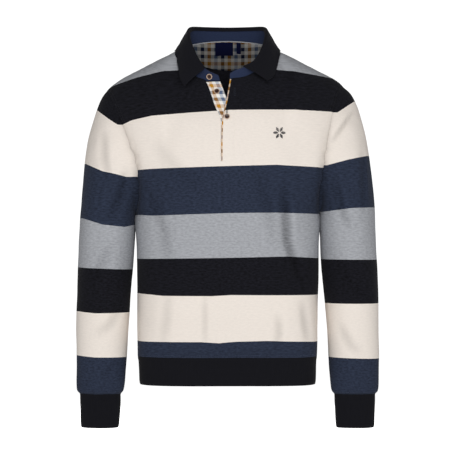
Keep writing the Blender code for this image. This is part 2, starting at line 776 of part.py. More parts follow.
def turn_of(point):
    """A point's angle round the neck in degrees, 0 at the front, 90 at the right."""
    return math.degrees(math.atan2(-point[0], COLLAR_AXIS_Y - point[1])) % 360


def away_from_neck(points):
    """The level direction away from the collar's axis at each point."""
    return unit(points * np.array([1, 1, 0]) - np.array([0, COLLAR_AXIS_Y, 0]))


def stand_grid(front, back):
    """The stand, from the neckline up to the roll, past the slot at both ends."""
    middle = FRONT_NECK_COLUMNS + SHOULDER_COLUMNS
    neck = slice(SHOULDER_COLUMNS, middle + 1)
    right_slot = front[-1, middle]
    left_slot = front[-1, middle + 1]
    right_end = right_slot + np.array([0.0285, -0.0040, 0.0000])
    left_end = left_slot + np.array([-0.0265, -0.0035, -0.0035])
    right_front = front[-1, neck][::-1]
    left_front = front[-1, middle + 1 : middle + 2 + FRONT_NECK_COLUMNS][::-1]
    behind = back[-1, SHOULDER_COLUMNS + 1 : -SHOULDER_COLUMNS - 1]
    bottom = np.concatenate(
        [
            [right_end, (right_end + right_slot) / 2],
            right_front,
            behind,
            left_front,
            [(left_end + left_slot) / 2, left_end],
        ]
    )
    top = rail(ROLL, [turn_of(point) for point in bottom])
    top = top + away_from_neck(top) * STAND / 2 - np.array([0, 0, SEAM_GAP])
    rows = [bottom + (top - bottom) * share for share in (0, 0.35, 0.7, 1)]
    # The free front ends are rounded at their upper corners.
    rows[3][0] = rows[3][0] * 0.7 + rows[3][1] * 0.3 - np.array([0, 0, 0.003])
    rows[3][-1] = rows[3][-1] * 0.7 + rows[3][-2] * 0.3 - np.array([0, 0, 0.003])
    return np.array(rows)


def leaf_grid(stand, tree):
    """The leaf: up inside the stand, over the roll, and down to its free edge."""
    turns = [turn_of(point) for point in stand[0, STAND_END_COLUMNS:-STAND_END_COLUMNS]]
    roll = rail(ROLL, turns)
    edge = rail(LEAF_EDGE, turns)
    away = away_from_neck(roll)
    up = np.array([0, 0, 1.0])
    over = [roll - away * ROLL_OUTSIDE - up * 0.0050]
    for degrees in (180, 135, 90, 45, 0):
        angle = math.radians(degrees)
        turn_out = away * math.cos(angle) + up * math.sin(angle)
        over.append(roll + turn_out * ROLL_OUTSIDE)
    start = over[-1]
    fall_out = unit(np.cross(np.gradient(edge, axis=0), edge - start))
    fall_out *= np.sign(np.sum(fall_out * away, axis=1, keepdims=True))
    fall = []
    for step in range(1, LEAF_FALL_STEPS + 1):
        share = step / LEAF_FALL_STEPS
        bulge = LEAF_BULGE * math.sin(math.pi * share)
        fall.append(start + (edge - start) * share + fall_out * bulge)
    fall = lifted(np.array(fall), tree, LEAF + LEAF_CLEARANCE)
    return np.concatenate([np.array(over), fall])


# ---------------------------------------------------------------- placket


def strip_grid(edge, across, widths, sink):
    """A strip of cloth beside an edge: one column of points for each width."""
    columns = [edge + across * width - sink for width in widths]
    return np.stack(columns, axis=1)


def placket_edge(front, side):
    """One edge of the slot in the front panel, from its bottom to the neckline."""
    middle = FRONT_NECK_COLUMNS + SHOULDER_COLUMNS
    column = middle if side == RIGHT else middle + 1
    return front[BODY_STEPS + len(ARMHOLE_ROWS) - 1 :, column].copy()


def across_placket(edge, stand_bottom_direction):
    """The direction across the strip at each row, level below, along the stand on top."""
    share = np.linspace(0, 1, len(edge))[:, None] ** 2
    return np.array([1.0, 0, 0]) * (1 - share) + stand_bottom_direction * share


def placket_pieces(front, normals):
    right = placket_edge(front, RIGHT)
    left = placket_edge(front, LEFT)
    right_out = np.array([normals[key_of(point)] for point in right])
    left_out = np.array([normals[key_of(point)] for point in left])
    for edge in (right, left):
        edge[0] += np.array([0, 0, LAYER_GAP])
        edge[-1] -= np.array([0, 0, 2 * SEAM_GAP])
    right_across = across_placket(right, np.array([1.0, -0.14, 0.0]))
    left_across = across_placket(left, np.array([1.0, 0.13, 0.13]))
    under_sink = right_out * (KNIT + LAYER_GAP)
    under_widths = (-UNDER_TUCK, 0.008, 0.018, UNDER_WIDTH)
    under = strip_grid(right, right_across, under_widths, under_sink)
    under[0, :, 2] -= 0.004
    top_widths = (-TOP_WIDTH, -TOP_WIDTH / 2, -SEAM_GAP)
    top = strip_grid(left, left_across, top_widths, left_out * -TOP_PROUD)
    facing_widths = (-TOP_WIDTH - FACING_SHOWS, -TOP_WIDTH / 2, -0.002)
    facing_sink = left_out * (KNIT - TOP_PROUD + SEAM_GAP)
    facing = strip_grid(left, left_across, facing_widths, facing_sink)
    hub = np.array([0, 0, -0.15])
    return (
        Piece("placket_under", under, WOVEN, hub),
        Piece("placket_top", top, KNIT, hub),
        Piece("placket_facing", facing, WOVEN, hub),
    )


# ---------------------------------------------------------------- neck trims


def on_back(tree, x, z, depth):
    """A point inside the back panel, the given depth from its outer surface."""
    hit, normal, _, _ = tree.ray_cast(Vector((x, 0, z)), Vector((0, 1, 0)))
    return np.array(hit - normal * depth)


def back_patch(tree, neckline, x_values, depths, sink):
    """A patch inside the back neck: its columns start just under the neckline."""
    order = np.argsort(neckline[:, 0])
    rows = []
    for share in np.linspace(0, 1, 5):
        row = []
        for x, depth in zip(x_values, depths):
            top = np.interp(x, neckline[order, 0], neckline[order, 2]) - 0.0012
            row.append(on_back(tree, x, top - depth * share, sink))
        rows.append(row)
    return np.array(rows)


def neck_trims(back_piece):
    tree = surface_tree([back_piece])
    neckline = back_piece.grid[-1, SHOULDER_COLUMNS:-SHOULDER_COLUMNS]
    hub = np.array([0, -0.05, 0])
    moon_x = MOON_HALF_WIDTH * np.sin(np.linspace(-math.pi / 2, math.pi / 2, 15))
    moon_depths = 0.006 + (MOON_DEPTH - 0.006) * np.sqrt(1 - (moon_x / MOON_HALF_WIDTH) ** 2)
    sink = KNIT + TRIM_GAP
    moon = back_patch(tree, neckline, moon_x, moon_depths, sink)
    sink += WOVEN + TRIM_GAP
    label_x = np.linspace(*LABEL_X, 5)
    label = back_patch(tree, neckline, label_x, [LABEL_DEPTH] * 5, sink)
    tab_x = np.linspace(*TAB_X, 3)
    tab = back_patch(tree, neckline, tab_x, [TAB_DEPTH] * 3, sink)
    return (
        Piece("neck_facing", moon, WOVEN, hub),
        Piece("neck_label", label, TAPE, hub),
        Piece("size_tab", tab, TAPE, hub),
    )


# ---------------------------------------------------------------- buttons


def button_object(name, tree, x, z, material, collection):
    """A turned button with a raised rim, lying on the cloth at (x, z)."""
    hit, normal, _, _ = tree.ray_cast(Vector((x, -0.3, z)), Vector((0, 1, 0)))
    radius, height = BUTTON_RADIUS, BUTTON_HEIGHT
    profile = [
        (0.0, height * 0.62),
        (radius * 0.62, height * 0.62),
        (radius * 0.78, height),
        (radius * 0.94, height * 0.92),
        (radius, height * 0.55),
        (radius * 0.80, height * 0.10),
        (0.0, 0.0),
    ]
    mesh = bpy.data.meshes.new(name)
    edges = [(i, i + 1) for i in range(len(profile) - 1)]
    mesh.from_pydata([(r, 0, h) for r, h in profile], edges, [])
    button = add_object(name, mesh, material, collection)
    screw = button.modifiers.new("Turned", "SCREW")
    screw.steps = 16
    screw.render_steps = 16
    screw.use_merge_vertices = True
    screw.merge_threshold = 0.00001
    screw.use_smooth_shade = True
    out = normal if normal.y < 0 else -normal
    button.rotation_mode = "QUATERNION"
    button.rotation_quaternion = out.to_track_quat("Z", "Y")
    button.location = hit + out * 0.0006
    return button


# ---------------------------------------------------------------- the garment


def clear_scene():
    for leftover in list(bpy.data.objects):
        bpy.data.objects.remove(leftover, do_unlink=True)


def build():
    clear_scene()
    garment = bpy.data.collections.new("polo_sweatshirt")
    bpy.context.scene.collection.children.link(garment)

    front = folded(body_grid(True), FRONT_FOLDS, -1)
    back = folded(body_grid(False), BACK_FOLDS, 1)
    axis = front[:, 0] * np.array([0, 0, 1])
    all_edges = ("first_row", "last_row", "first_column", "last_column")
    front_piece = Piece("front_panel", front, KNIT, axis, keep=slot_cells(front), gaps=all_edges)
    back_piece = Piece("back_panel", back, KNIT, axis, gaps=all_edges)
    shell = [front_piece, back_piece]
    outward = {}
    for side, word in ((RIGHT, "right"), (LEFT, "left")):
        loop = armhole_loop(front, back, side)
        centre = loop.mean(axis=0)
        across = unit(np.cross(loop[len(loop) // 2] - loop[0], [0, 1, 0]))
        for point in loop:
            flat = point - centre
            outward[key_of(point)] = unit(flat - across * np.dot(flat, across))
        grid = sleeve_grid(loop, side)
        shell.append(
            Piece(f"sleeve_{word}", grid, KNIT, grid.mean(axis=1), ring=True,
                  gaps=("first_row", "last_row"))
        )
        cuff = cuff_grid(grid, side)
        shell.append(
            Piece(f"cuff_{word}", cuff, RIB, cuff.mean(axis=1), ring=True, gaps=("first_row",))
        )
    band = band_grid(front, back)
    shell.append(
        Piece("hem_band", band, RIB, band.mean(axis=1), ring=True, gaps=("first_row",))
    )
    stand = stand_grid(front, back)
    stand_hub = np.array([0, COLLAR_AXIS_Y, 0])
    stand_piece = Piece("collar_stand", stand, STAND, stand_hub, gaps=("first_row",), part=1.4)
    shell.append(stand_piece)
    normals = shared_normals(shell)
    normals.update(outward)

    leaf = leaf_grid(stand, surface_tree([front_piece, back_piece, stand_piece]))
    leaf_piece = Piece("collar_leaf", leaf, LEAF, stand_hub)
    plackets = placket_pieces(front, normals)
    trims = neck_trims(back_piece)
    loose = [leaf_piece, *plackets, *trims]

    body_cloth = striped_material("striped_body", BODY_STRIPE_Z)
    sleeve_cloth = striped_material("striped_sleeves", SLEEVE_STRIPE_Z)
    rib = plain_material("black_rib", BLACK)
    check = plain_material("check_shirting", CHECK_GROUND, 0.8)
    tape = plain_material("woven_tape", BLUE, 0.6)
    materials = {
        "front_panel": body_cloth,
        "back_panel": body_cloth,
        "sleeve_right": sleeve_cloth,
        "sleeve_left": sleeve_cloth,
        "cuff_right": rib,
        "cuff_left": rib,
        "hem_band": rib,
        "collar_stand": plain_material("navy_stand", STAND_NAVY),
        "collar_leaf": plain_material("black_collar", BLACK),
        "placket_under": check,
        "placket_top": body_cloth,
        "placket_facing": check,
        "neck_facing": check,
        "neck_label": tape,
        "size_tab": tape,
    }
    for piece in shell + loose:
        own = normals if piece in shell else shared_normals([piece])
        directions = np.array([[own[key_of(point)] for point in row] for row in piece.grid])
        outer, inner = parted(piece, piece.grid - directions * piece.wall)
        mesh = wall_mesh(piece, outer, inner)
        add_object(piece.name, mesh, materials[piece.name], garment)

    horn = plain_material("horn_button", HORN, 0.35)
    under, top, _ = plackets
    for name, carrier, x, z in (
        ("button_collar", stand_piece, -0.0357, -0.0610),
        ("button_middle", under, -0.0210, -0.0918),
        ("button_lower", top, -0.0012, -0.1434),
    ):
        button_object(name, surface_tree([carrier]), x, z, horn, garment)


build()
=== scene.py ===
# %% [markdown]
# # A polo sweatshirt in broad stripes
#
# This lesson dresses the plain solids of a sweatshirt in cloth that looks worn and
# soft. The solids come in as a fixed frame, in metres, and every piece made here
# lies on the form of the solid that it stands for, so that nothing has to be fitted.

# %% The frame
import math

import bmesh
import bpy
import numpy as np
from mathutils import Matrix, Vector, geometry, noise
from mathutils.bvhtree import BVHTree
from mathutils.kdtree import KDTree


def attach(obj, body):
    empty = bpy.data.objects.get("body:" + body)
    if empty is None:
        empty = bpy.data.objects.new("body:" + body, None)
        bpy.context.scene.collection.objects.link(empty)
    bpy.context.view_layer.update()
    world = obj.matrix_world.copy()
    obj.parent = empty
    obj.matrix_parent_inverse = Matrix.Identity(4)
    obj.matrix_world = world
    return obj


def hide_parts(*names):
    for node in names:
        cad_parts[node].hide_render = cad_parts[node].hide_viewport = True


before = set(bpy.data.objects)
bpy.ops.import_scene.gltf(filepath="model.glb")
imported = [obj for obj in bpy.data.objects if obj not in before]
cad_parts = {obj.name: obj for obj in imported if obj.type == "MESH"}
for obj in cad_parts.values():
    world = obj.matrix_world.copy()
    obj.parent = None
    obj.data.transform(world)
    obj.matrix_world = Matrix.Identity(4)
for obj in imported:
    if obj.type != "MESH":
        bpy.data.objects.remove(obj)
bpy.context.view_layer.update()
bpy.ops.object.select_all(action="DESELECT")

# %% [markdown]
# ## A cut piece of cloth
#
# A maker cuts each piece flat and sews it to its neighbours. Its solid already has
# the right outline and thickness, but only coarse faces. A finer piece can be made
# from a copy of it: its loose triangles are merged and joined to squares again, its
# cut edges are creased, and a Subdivision Surface makes the rest smooth. That keeps
# every seam where it is, which a remesh would not.

# %% Cutting a finer piece
KNIT_PIECES = ["front_panel", "back_panel", "sleeve_right", "sleeve_left"]
RIB_PIECES = ["hem_band", "cuff_right", "cuff_left"]
PANELS = ["front_panel", "back_panel"]
LEFT, RIGHT = 1, -1  # the wearer's sides, as the sign of X
ACROSS, IN_LINE, UP = Vector((1, 0, 0)), Vector((0, 1, 0)), Vector((0, 0, 1))  # IN_LINE with the view


def only(piece):
    """Selects this piece and nothing else."""
    bpy.ops.object.select_all(action="DESELECT")
    piece.select_set(True)
    bpy.context.view_layer.objects.active = piece


def new_piece(name, mesh):
    """An object in the scene with this mesh, both of this name."""
    mesh.name = name
    piece = bpy.data.objects.new(name, mesh)
    bpy.context.scene.collection.objects.link(piece)
    return piece


def applied(piece, kind, **settings):
    """Adds a modifier with these settings, and applies it."""
    only(piece)
    modifier = piece.modifiers.new(kind.lower(), kind)
    for key, value in settings.items():
        setattr(modifier, key, value)
    bpy.ops.object.modifier_apply(modifier=modifier.name)
    return piece


def coarse_copy(node, name):
    """A copy of a solid, merged, and with its squares restored."""
    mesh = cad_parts[node].data.copy()
    mesh.materials.clear()
    piece = new_piece(name, mesh)
    only(piece)
    bpy.ops.mesh.customdata_custom_splitnormals_clear()
    bpy.ops.object.mode_set(mode="EDIT")
    bpy.ops.mesh.select_all(action="SELECT")
    bpy.ops.mesh.remove_doubles(threshold=2e-5)
    bpy.ops.mesh.tris_convert_to_quads(
        face_threshold=math.radians(40), shape_threshold=math.radians(75)
    )
    bpy.ops.mesh.mark_sharp(clear=True)
    bpy.ops.object.mode_set(mode="OBJECT")
    bpy.ops.object.shade_smooth()
    return piece


def crease_edges(piece, angle):
    """Creases the edges that turn by more than this angle, in degrees."""
    only(piece)
    bpy.ops.object.mode_set(mode="EDIT")
    bpy.ops.mesh.select_mode(type="EDGE")
    bpy.ops.mesh.select_all(action="DESELECT")
    bpy.ops.mesh.edges_select_sharp(sharpness=math.radians(angle))
    bpy.ops.transform.edge_crease(value=1)
    bpy.ops.mesh.select_mode(type="VERT")
    bpy.ops.object.mode_set(mode="OBJECT")


def refine(piece, levels, kind="CATMULL_CLARK"):
    """Applies a Subdivision Surface. SIMPLE keeps the facets, for a piece that is rounded later."""
    return applied(piece, "SUBSURF", subdivision_type=kind, levels=levels, render_levels=levels)


def round_cut_edges(piece, width, angle=50):
    """Rounds the cut or folded edges of the cloth by a small bevel."""
    limit = math.radians(angle)
    applied(piece, "BEVEL", width=width, segments=2, limit_method="ANGLE", angle_limit=limit)
    bpy.ops.object.shade_smooth()


coarse = {name: coarse_copy(name, f"{name}_form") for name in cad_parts}
print("faces in the coarse copies:", sum(len(piece.data.polygons) for piece in coarse.values()))

# %% [markdown]
# ## One skin over all the pieces
#
# The pieces meet at seams with a hair of space between them. Folds must cross these
# seams as one, so they are measured on a single skin: the outer faces of all the
# large pieces, merged where they meet. Any point near the cloth, on its outer or its
# inner face, then has one outward direction, and both faces move together.

# %% The skin
# The line down the middle of an arm: its heights, its distances from the garment's
# middle there, and its y. The hubs end below the shoulders.
ARM_LEVELS = (-0.77, -0.45, -0.30, -0.20)
ARM_OFFSETS = (0.260, 0.250, 0.243, 0.215)
ARM_Y, ARM_TOP, BODY_TOP = -0.02, -0.20, -0.15


def hub_of(name, point):
    """A point well inside the tube that this piece belongs to."""
    x, y, z = point
    if name.startswith(("sleeve", "cuff")):
        side = RIGHT if name.endswith("right") else LEFT
        return Vector((side * np.interp(z, ARM_LEVELS, ARM_OFFSETS), ARM_Y, min(z, ARM_TOP)))
    return Vector((0, 0, min(z, BODY_TOP)))


def outer_faces(piece, name, thinnest=0.0028):
    """The piece's outer faces as corner points, without the cut edges and the inside."""
    mesh = piece.data
    faces = []
    for face in mesh.polygons:
        corners = [mesh.vertices[i].co for i in face.vertices]
        sides = [(corners[i] - corners[i - 1]).length for i in range(len(corners))]
        if min(sides) < thinnest or face.normal.dot(face.center - hub_of(name, face.center)) <= 0:
            continue
        faces.append([corner.copy() for corner in corners])
    return faces


def make_skin(names, gap=0.0006, sharp_corner=130):
    """One mesh of the outer faces of these pieces, merged along the seams, sharp at its corners."""
    build = bmesh.new()
    for name in names:
        for corners in outer_faces(coarse[name], name):
            build.faces.new([build.verts.new(corner) for corner in corners])
    bmesh.ops.remove_doubles(build, verts=build.verts, dist=gap)
    sharp = build.verts.layers.float.new("crease_vert")
    for vertex in build.verts:
        edges = [edge for edge in vertex.link_edges if edge.is_boundary]
        if len(edges) == 2:
            before, after = (edge.other_vert(vertex).co - vertex.co for edge in edges)
            vertex[sharp] = float(before.angle(after) < math.radians(sharp_corner))
    mesh = bpy.data.meshes.new("skin")
    build.to_mesh(mesh)
    build.free()
    return mesh


def subdivided(mesh, kind, levels=2):
    """The mesh in finer squares: SIMPLE keeps its facets, CATMULL_CLARK rounds them."""
    piece = new_piece("skin", mesh.copy())
    settings = {"subdivision_type": kind, "levels": levels, "render_levels": levels}
    applied(piece, "SUBSURF", boundary_smooth="PRESERVE_CORNERS", **settings)
    result = piece.data
    bpy.data.objects.remove(piece)
    return result


def rounded_through(mesh, rounds=2):
    """The mesh rounded, from a cage swollen until the round form reaches the mesh's own points."""
    cage = mesh.copy()
    for _ in range(rounds):
        smooth = subdivided(cage, "CATMULL_CLARK")
        for corner, own in zip(cage.vertices, mesh.vertices):
            corner.co += own.co - smooth.vertices[own.index].co
    return subdivided(cage, "CATMULL_CLARK")


rough = make_skin(KNIT_PIECES + RIB_PIECES)
faceted, rounded = subdivided(rough, "SIMPLE"), rounded_through(rough)
skin_places = [vertex.co.copy() for vertex in rounded.vertices]
skin_normals = [vertex.normal.copy() for vertex in rounded.vertices]
skin_faces = []
for face in faceted.polygons:
    a, *rest = face.vertices
    skin_faces += [(a, b, c) for b, c in zip(rest, rest[1:])]
faceted_points = [vertex.co.copy() for vertex in faceted.vertices]
skin = BVHTree.FromPolygons(faceted_points, skin_faces)


def on_skin(point):
    """The rounded skin's place and outward direction nearest to a point, and the height above it."""
    near, _, face, distance = skin.find_nearest(point)
    corners = skin_faces[face]
    own = (faceted_points[i] for i in corners)
    # Between the ends of the three axes, a place is its own shares of the corners.
    shares = geometry.barycentric_transform(near, *own, ACROSS, IN_LINE, UP)
    place = sum((skin_places[i] * share for i, share in zip(corners, shares)), Vector())
    outward = sum((skin_normals[i] * share for i, share in zip(corners, shares)), Vector())
    outward.normalize()
    return place, outward, distance if (point - near).dot(outward) > 0 else -distance


print("skin:", len(skin_places), "points,", len(skin_faces), "triangles")

# %% [markdown]
# ## Folds placed one by one
#
# Brushed sweatshirt knit is thick, so it bends in long soft troughs, with a low ridge
# beside each. A simulation would give folds in other places, so the main ones are
# listed with their ends, their width and their depth, and dropped on the skin from
# the side that they are seen from. The back and the inside have folds of their own.

# %% The folds
# For each region and the side that its folds are dropped from, the folds: the points
# (x, z), the half width and the depth of each. A negative depth makes a ridge.
FOLDS = {
    ("body", "front"): [
        ([(0.112, -0.275), (0.121, -0.395), (0.150, -0.480)], 0.0114, 0.0085),
        ([(0.060, -0.250), (0.085, -0.330), (0.104, -0.420)], 0.0176, 0.0027),
        ([(-0.046, -0.500), (-0.045, -0.600)], 0.0075, 0.0024),
        ([(0.100, -0.540), (0.103, -0.570), (0.096, -0.605)], 0.0095, 0.0032),
        ([(0.150, -0.510), (0.158, -0.600)], 0.0114, 0.0034),
        ([(-0.160, -0.290), (-0.128, -0.370), (-0.118, -0.450)], 0.0150, 0.0034),
        ([(-0.118, -0.490), (-0.128, -0.600)], 0.0132, 0.0023),
        ([(-0.150, -0.190), (-0.100, -0.250), (-0.040, -0.290)], 0.0176, 0.0019),
    ],
    ("body", "back"): [
        ([(-0.130, -0.250), (-0.060, -0.330), (0.010, -0.350)], 0.0176, 0.0035),
        ([(0.140, -0.240), (0.090, -0.340), (0.075, -0.460)], 0.0158, 0.0042),
        ([(-0.120, -0.380), (-0.095, -0.480), (-0.105, -0.590)], 0.0150, 0.0035),
        ([(0.030, -0.490), (0.040, -0.605)], 0.0106, 0.0029),
        ([(0.125, -0.520), (0.120, -0.605)], 0.0097, 0.0029),
    ],
    ("sleeve_right", "front"): [
        ([(-0.250, -0.165), (-0.247, -0.225), (-0.236, -0.275)], 0.0106, 0.0038),
        ([(-0.205, -0.250), (-0.214, -0.300), (-0.240, -0.350)], 0.0114, 0.0049),
        ([(-0.235, -0.400), (-0.262, -0.450), (-0.285, -0.475)], 0.0132, 0.0034),
        ([(-0.215, -0.520), (-0.235, -0.560), (-0.270, -0.580)], 0.0123, 0.0030),
        ([(-0.230, -0.640), (-0.252, -0.668)], 0.0079, 0.0027),
    ],
    ("sleeve_right", "back"): [
        ([(-0.200, -0.300), (-0.240, -0.370), (-0.280, -0.400)], 0.0132, 0.0042),
        ([(-0.215, -0.440), (-0.250, -0.480), (-0.290, -0.500)], 0.0123, 0.0042),
        ([(-0.220, -0.590), (-0.260, -0.620)], 0.0106, 0.0029),
    ],
    ("sleeve_left", "front"): [
        ([(0.258, -0.124), (0.234, -0.157), (0.210, -0.192)], 0.0052, 0.0052),
        ([(0.281, -0.210), (0.283, -0.310)], 0.0060, -0.0012),
        ([(0.272, -0.205), (0.275, -0.300), (0.272, -0.360)], 0.0114, 0.0027),
        ([(0.212, -0.270), (0.228, -0.330), (0.252, -0.370)], 0.0114, 0.0042),
        ([(0.222, -0.430), (0.246, -0.480), (0.280, -0.500)], 0.0132, 0.0030),
        ([(0.225, -0.560), (0.246, -0.600), (0.272, -0.618)], 0.0114, 0.0030),
    ],
    ("sleeve_left", "back"): [
        ([(0.205, -0.290), (0.240, -0.350), (0.285, -0.380)], 0.0132, 0.0042),
        ([(0.215, -0.450), (0.255, -0.500), (0.290, -0.515)], 0.0123, 0.0038),
        ([(0.225, -0.610), (0.260, -0.645)], 0.0097, 0.0026),
    ],
}
FAR = 1.0
DROPPED_FROM = {"front": -1, "back": 1}  # the sign of Y
RIDGE_SPREAD = 3.2  # a ridge reaches this much further than its trough
TROUGH, RIDGE = 1.15, 0.35  # their shares of the depth, which meet as 0.8 in the middle
FOLD_TAPER = 0.6  # a smaller power gives a fold more abrupt ends


def tree_of(points):
    """A tree that finds the nearest of these points."""
    tree = KDTree(len(points))
    for i, place in enumerate(points):
        tree.insert(place, i)
    tree.balance()
    return tree


def dropped_line(side, points, step=0.004, rounds=6):
    """The fold's line on the skin, evened a little."""
    line = []
    away = DROPPED_FROM[side]
    for (a1, z1), (a2, z2) in zip(points, points[1:]):
        count = max(2, round(math.hypot(a2 - a1, z2 - z1) / step))
        for i in range(count):
            start = (a1 + (a2 - a1) * i / count, away * FAR, z1 + (z2 - z1) * i / count)
            place = skin.ray_cast(Vector(start), Vector((0, -away, 0)))[0]
            if place is not None:
                line.append(place)
    for _ in range(rounds):
        threes = zip(line, line[1:], line[2:])
        inner = [(before + here * 2 + after) / 4 for before, here, after in threes]
        line = [line[0], *inner, line[-1]]
    return line


fold_lines = []
for (region, side), folds in FOLDS.items():
    for points, width, depth in folds:
        line = dropped_line(side, points)
        fold_lines.append((region, tree_of(line), len(line), width, depth))
print("folds:", len(fold_lines), "longest:", max(line[2] for line in fold_lines), "points")


def fold_depth(region, place):
    """How far the listed folds push this place in. A low ridge runs along each trough."""
    depth = 0.0
    for its_region, tree, count, width, deepest in fold_lines:
        if its_region != region:
            continue
        _, index, distance = tree.find(place)
        if distance > RIDGE_SPREAD * width:
            continue
        taper = math.sin(math.pi * (index + 0.5) / count) ** FOLD_TAPER
        across = (distance / width) ** 2
        shape = TROUGH * math.exp(-across) - RIDGE * math.exp(-across / RIDGE_SPREAD)
        depth += deepest * taper * shape
    return depth


# %% [markdown]
# ## How the whole garment hangs
#
# Besides its folds the cloth is never quite even. It swells a little where nothing
# holds it, puckers along seams, and blouses over the tight band at the hem. These are
# small, so a smooth noise of a few centimetres gives the swell, a finer one near the
# seams gives the puckers, and a short bump gives the blousing. The armhole seam lies in
# a valley, since it pulls the cloth in on both sides, and below it the sleeve and the
# side of the body press against each other under the arm.

# %% The seams
def seam_points(names_a, names_b, reach=0.0008, apart=0.0012):
    """Where the outer faces of some pieces meet those of others, each place once."""
    corners = [p for name in names_b for face in outer_faces(coarse[name], name) for p in face]
    other = tree_of(corners)
    ends = []
    for name in names_a:
        for face in outer_faces(coarse[name], name):
            for place in face:
                near, _, distance = other.find(place)
                if distance < reach:
                    ends.append((place + near) / 2)
    found = tree_of(ends)
    return [
        place
        for i, place in enumerate(ends)
        if not any(index < i for _, index, _ in found.find_range(place, apart))
    ]


seams = {
    "armhole_right": seam_points(["sleeve_right"], PANELS),
    "armhole_left": seam_points(["sleeve_left"], PANELS),
    "cuff_right": seam_points(["cuff_right"], ["sleeve_right"]),
    "cuff_left": seam_points(["cuff_left"], ["sleeve_left"]),
    "hem": seam_points(["hem_band"], PANELS),
    "side_and_shoulder": seam_points(["front_panel"], ["back_panel"]),
}
for name, points in seams.items():
    print("seam", name, len(points), "points")


def close_points(points, reach=0.05, share=12):
    """The points, and more between those that are neighbours along a seam."""
    own = tree_of(points)
    more = list(points)
    for here in points:
        for there, index, distance in own.find_n(here, 3):
            if 0 < distance < reach:
                more += [here.lerp(there, i / share) for i in range(1, share)]
    return more


sewn = tree_of([place for points in seams.values() for place in points])
both_armholes = close_points(seams["armhole_right"]) + close_points(seams["armhole_left"])
armholes = tree_of([on_skin(place)[0] for place in both_armholes])

# %% The hang of the cloth
# The slow unevenness: waves per metre, where the noise is read, and its height.
SWELL = [(11, Vector((3.1, 0.7, 5.2)), 0.0016), (27, Vector((0.4, 9.1, 2.3)), 0.0007)]
CALM_FROM, CALM_OVER, CALMEST = -0.03, 0.10, 0.15  # it is held under the collar
PUCKER_WAVES, PUCKER_HEIGHT, PUCKER_REACH = 85, 0.0006, 0.014
HEM_SEAM_Z, BLOUSE_REACH, BLOUSE_HEIGHT = -0.6255, 0.085, 0.0055

# The head of the left sleeve is eased into its armhole, so the cloth stands fuller there.
FULL_MIDDLE, FULL_REACH, FULL_HEIGHT = Vector((0.252, 0.0, -0.090)), 0.032, 0.0034
FULL_FROM_SEAM = 0.014  # it starts this far from the seam

# The armhole seam pulls the cloth in beside it, and more where it goes under the arm:
# its levels, and the depth at each.
SINK_LEVELS = (-0.335, -0.322, -0.30, -0.24, -0.16, -0.11)
SINK_DEPTHS = (0.0, 0.0040, 0.0070, 0.0048, 0.0030, 0.0005)
SINK_REACH = 0.0048

# Below the seam the sleeve and the side of the body press on each other.
PRESSED_LEVELS = (-0.48, -0.43, -0.395, -0.37, -0.35, -0.338, -0.328)
PRESSED_HEIGHTS = (0.0, 0.0007, 0.0018, 0.0024, 0.0022, 0.0008, 0.0)
INNER_SIDE = {"sleeve_right": LEFT, "sleeve_left": RIGHT}  # where its inner side faces

FULL_SHADE_DEPTH = 0.0085  # a hollow as deep as this takes the full painted shade of a crease


def swell(place):
    """Slow unevenness of the free cloth, calmer under the collar."""
    calm = min(max((CALM_FROM - place.z) / CALM_OVER, CALMEST), 1.0)
    return calm * sum(height * noise.noise(place * waves + shift) for waves, shift, height in SWELL)


def near_to(distance, reach):
    """1 at no distance, and fading to 0 over a few times this reach."""
    return math.exp(-((distance / reach) ** 2))


def puckers(place):
    """Small ripples beside a seam."""
    beside = near_to(sewn.find(place)[2], PUCKER_REACH)
    return PUCKER_HEIGHT * beside * noise.noise(place * PUCKER_WAVES)


def blousing(place, outward):
    """The body swells over the hem band, more in front and behind than at the sides."""
    share = (place.z - HEM_SEAM_Z) / BLOUSE_REACH
    if not 0 < share < 1:
        return 0.0
    return BLOUSE_HEIGHT * abs(outward.y) * math.sin(math.pi * share**0.62) ** 1.3


def pressed_together(region, place, outward):
    """The side of the body and the inner side of a sleeve, filled out towards each other."""
    facing = abs(outward.x) if region == "body" else INNER_SIDE.get(region, 0) * outward.x
    return np.interp(place.z, PRESSED_LEVELS, PRESSED_HEIGHTS) * max(0.0, facing) ** 2


def fullness(place, to_seam):
    """The eased cloth of the sleeve's head."""
    reached = near_to((place - FULL_MIDDLE).length, FULL_REACH)
    return FULL_HEIGHT * reached * (1 - near_to(to_seam, FULL_FROM_SEAM))


def rise_and_hollow(region, place, outward):
    """How far this place of the cloth stands out, and how deep it lies in a fold or at a seam."""
    to_seam = armholes.find(place)[2]
    rise = swell(place) + puckers(place) + pressed_together(region, place, outward)
    if region == "sleeve_left":
        rise += fullness(place, to_seam)
    if region == "body":
        rise += blousing(place, outward)
    sink = np.interp(place.z, SINK_LEVELS, SINK_DEPTHS) * math.exp(-to_seam / SINK_REACH)
    return rise, fold_depth(region, place) + sink


def hang(region, place, outward):
    """How far this place of the cloth moves outwards in all."""
    rise, hollow = rise_and_hollow(region, place, outward)
    return rise - hollow


def keep_numbers(piece, name, numbers):
    """Keeps one number at each point of the cloth, in an attribute that the finish reads."""
    attribute = piece.data.attributes.new(name, "FLOAT", "POINT")
    attribute.data.foreach_set("value", np.array(numbers, np.float32))


def drape(piece, region):
    """Lays a large piece on the rounded skin, hangs it, and keeps how hollow each point lies as
    painted shade.
    """
    widest = 0.0
    painted_shade_amounts = []
    for vertex in piece.data.vertices:
        place, outward, height = on_skin(vertex.co)
        rise, hollow = rise_and_hollow(region, place, outward)
        vertex.co = place + outward * (height + rise - hollow)
        widest = max(widest, abs(rise - hollow))
        # How hollow a point lies becomes painted shade: the finish darkens creases and seam valleys by
        # it.
        painted_shade_amounts.append(min(max(hollow / FULL_SHADE_DEPTH, 0.0), 1.0))
    keep_numbers(piece, "hollow", painted_shade_amounts)
    piece.data.update()
    return widest


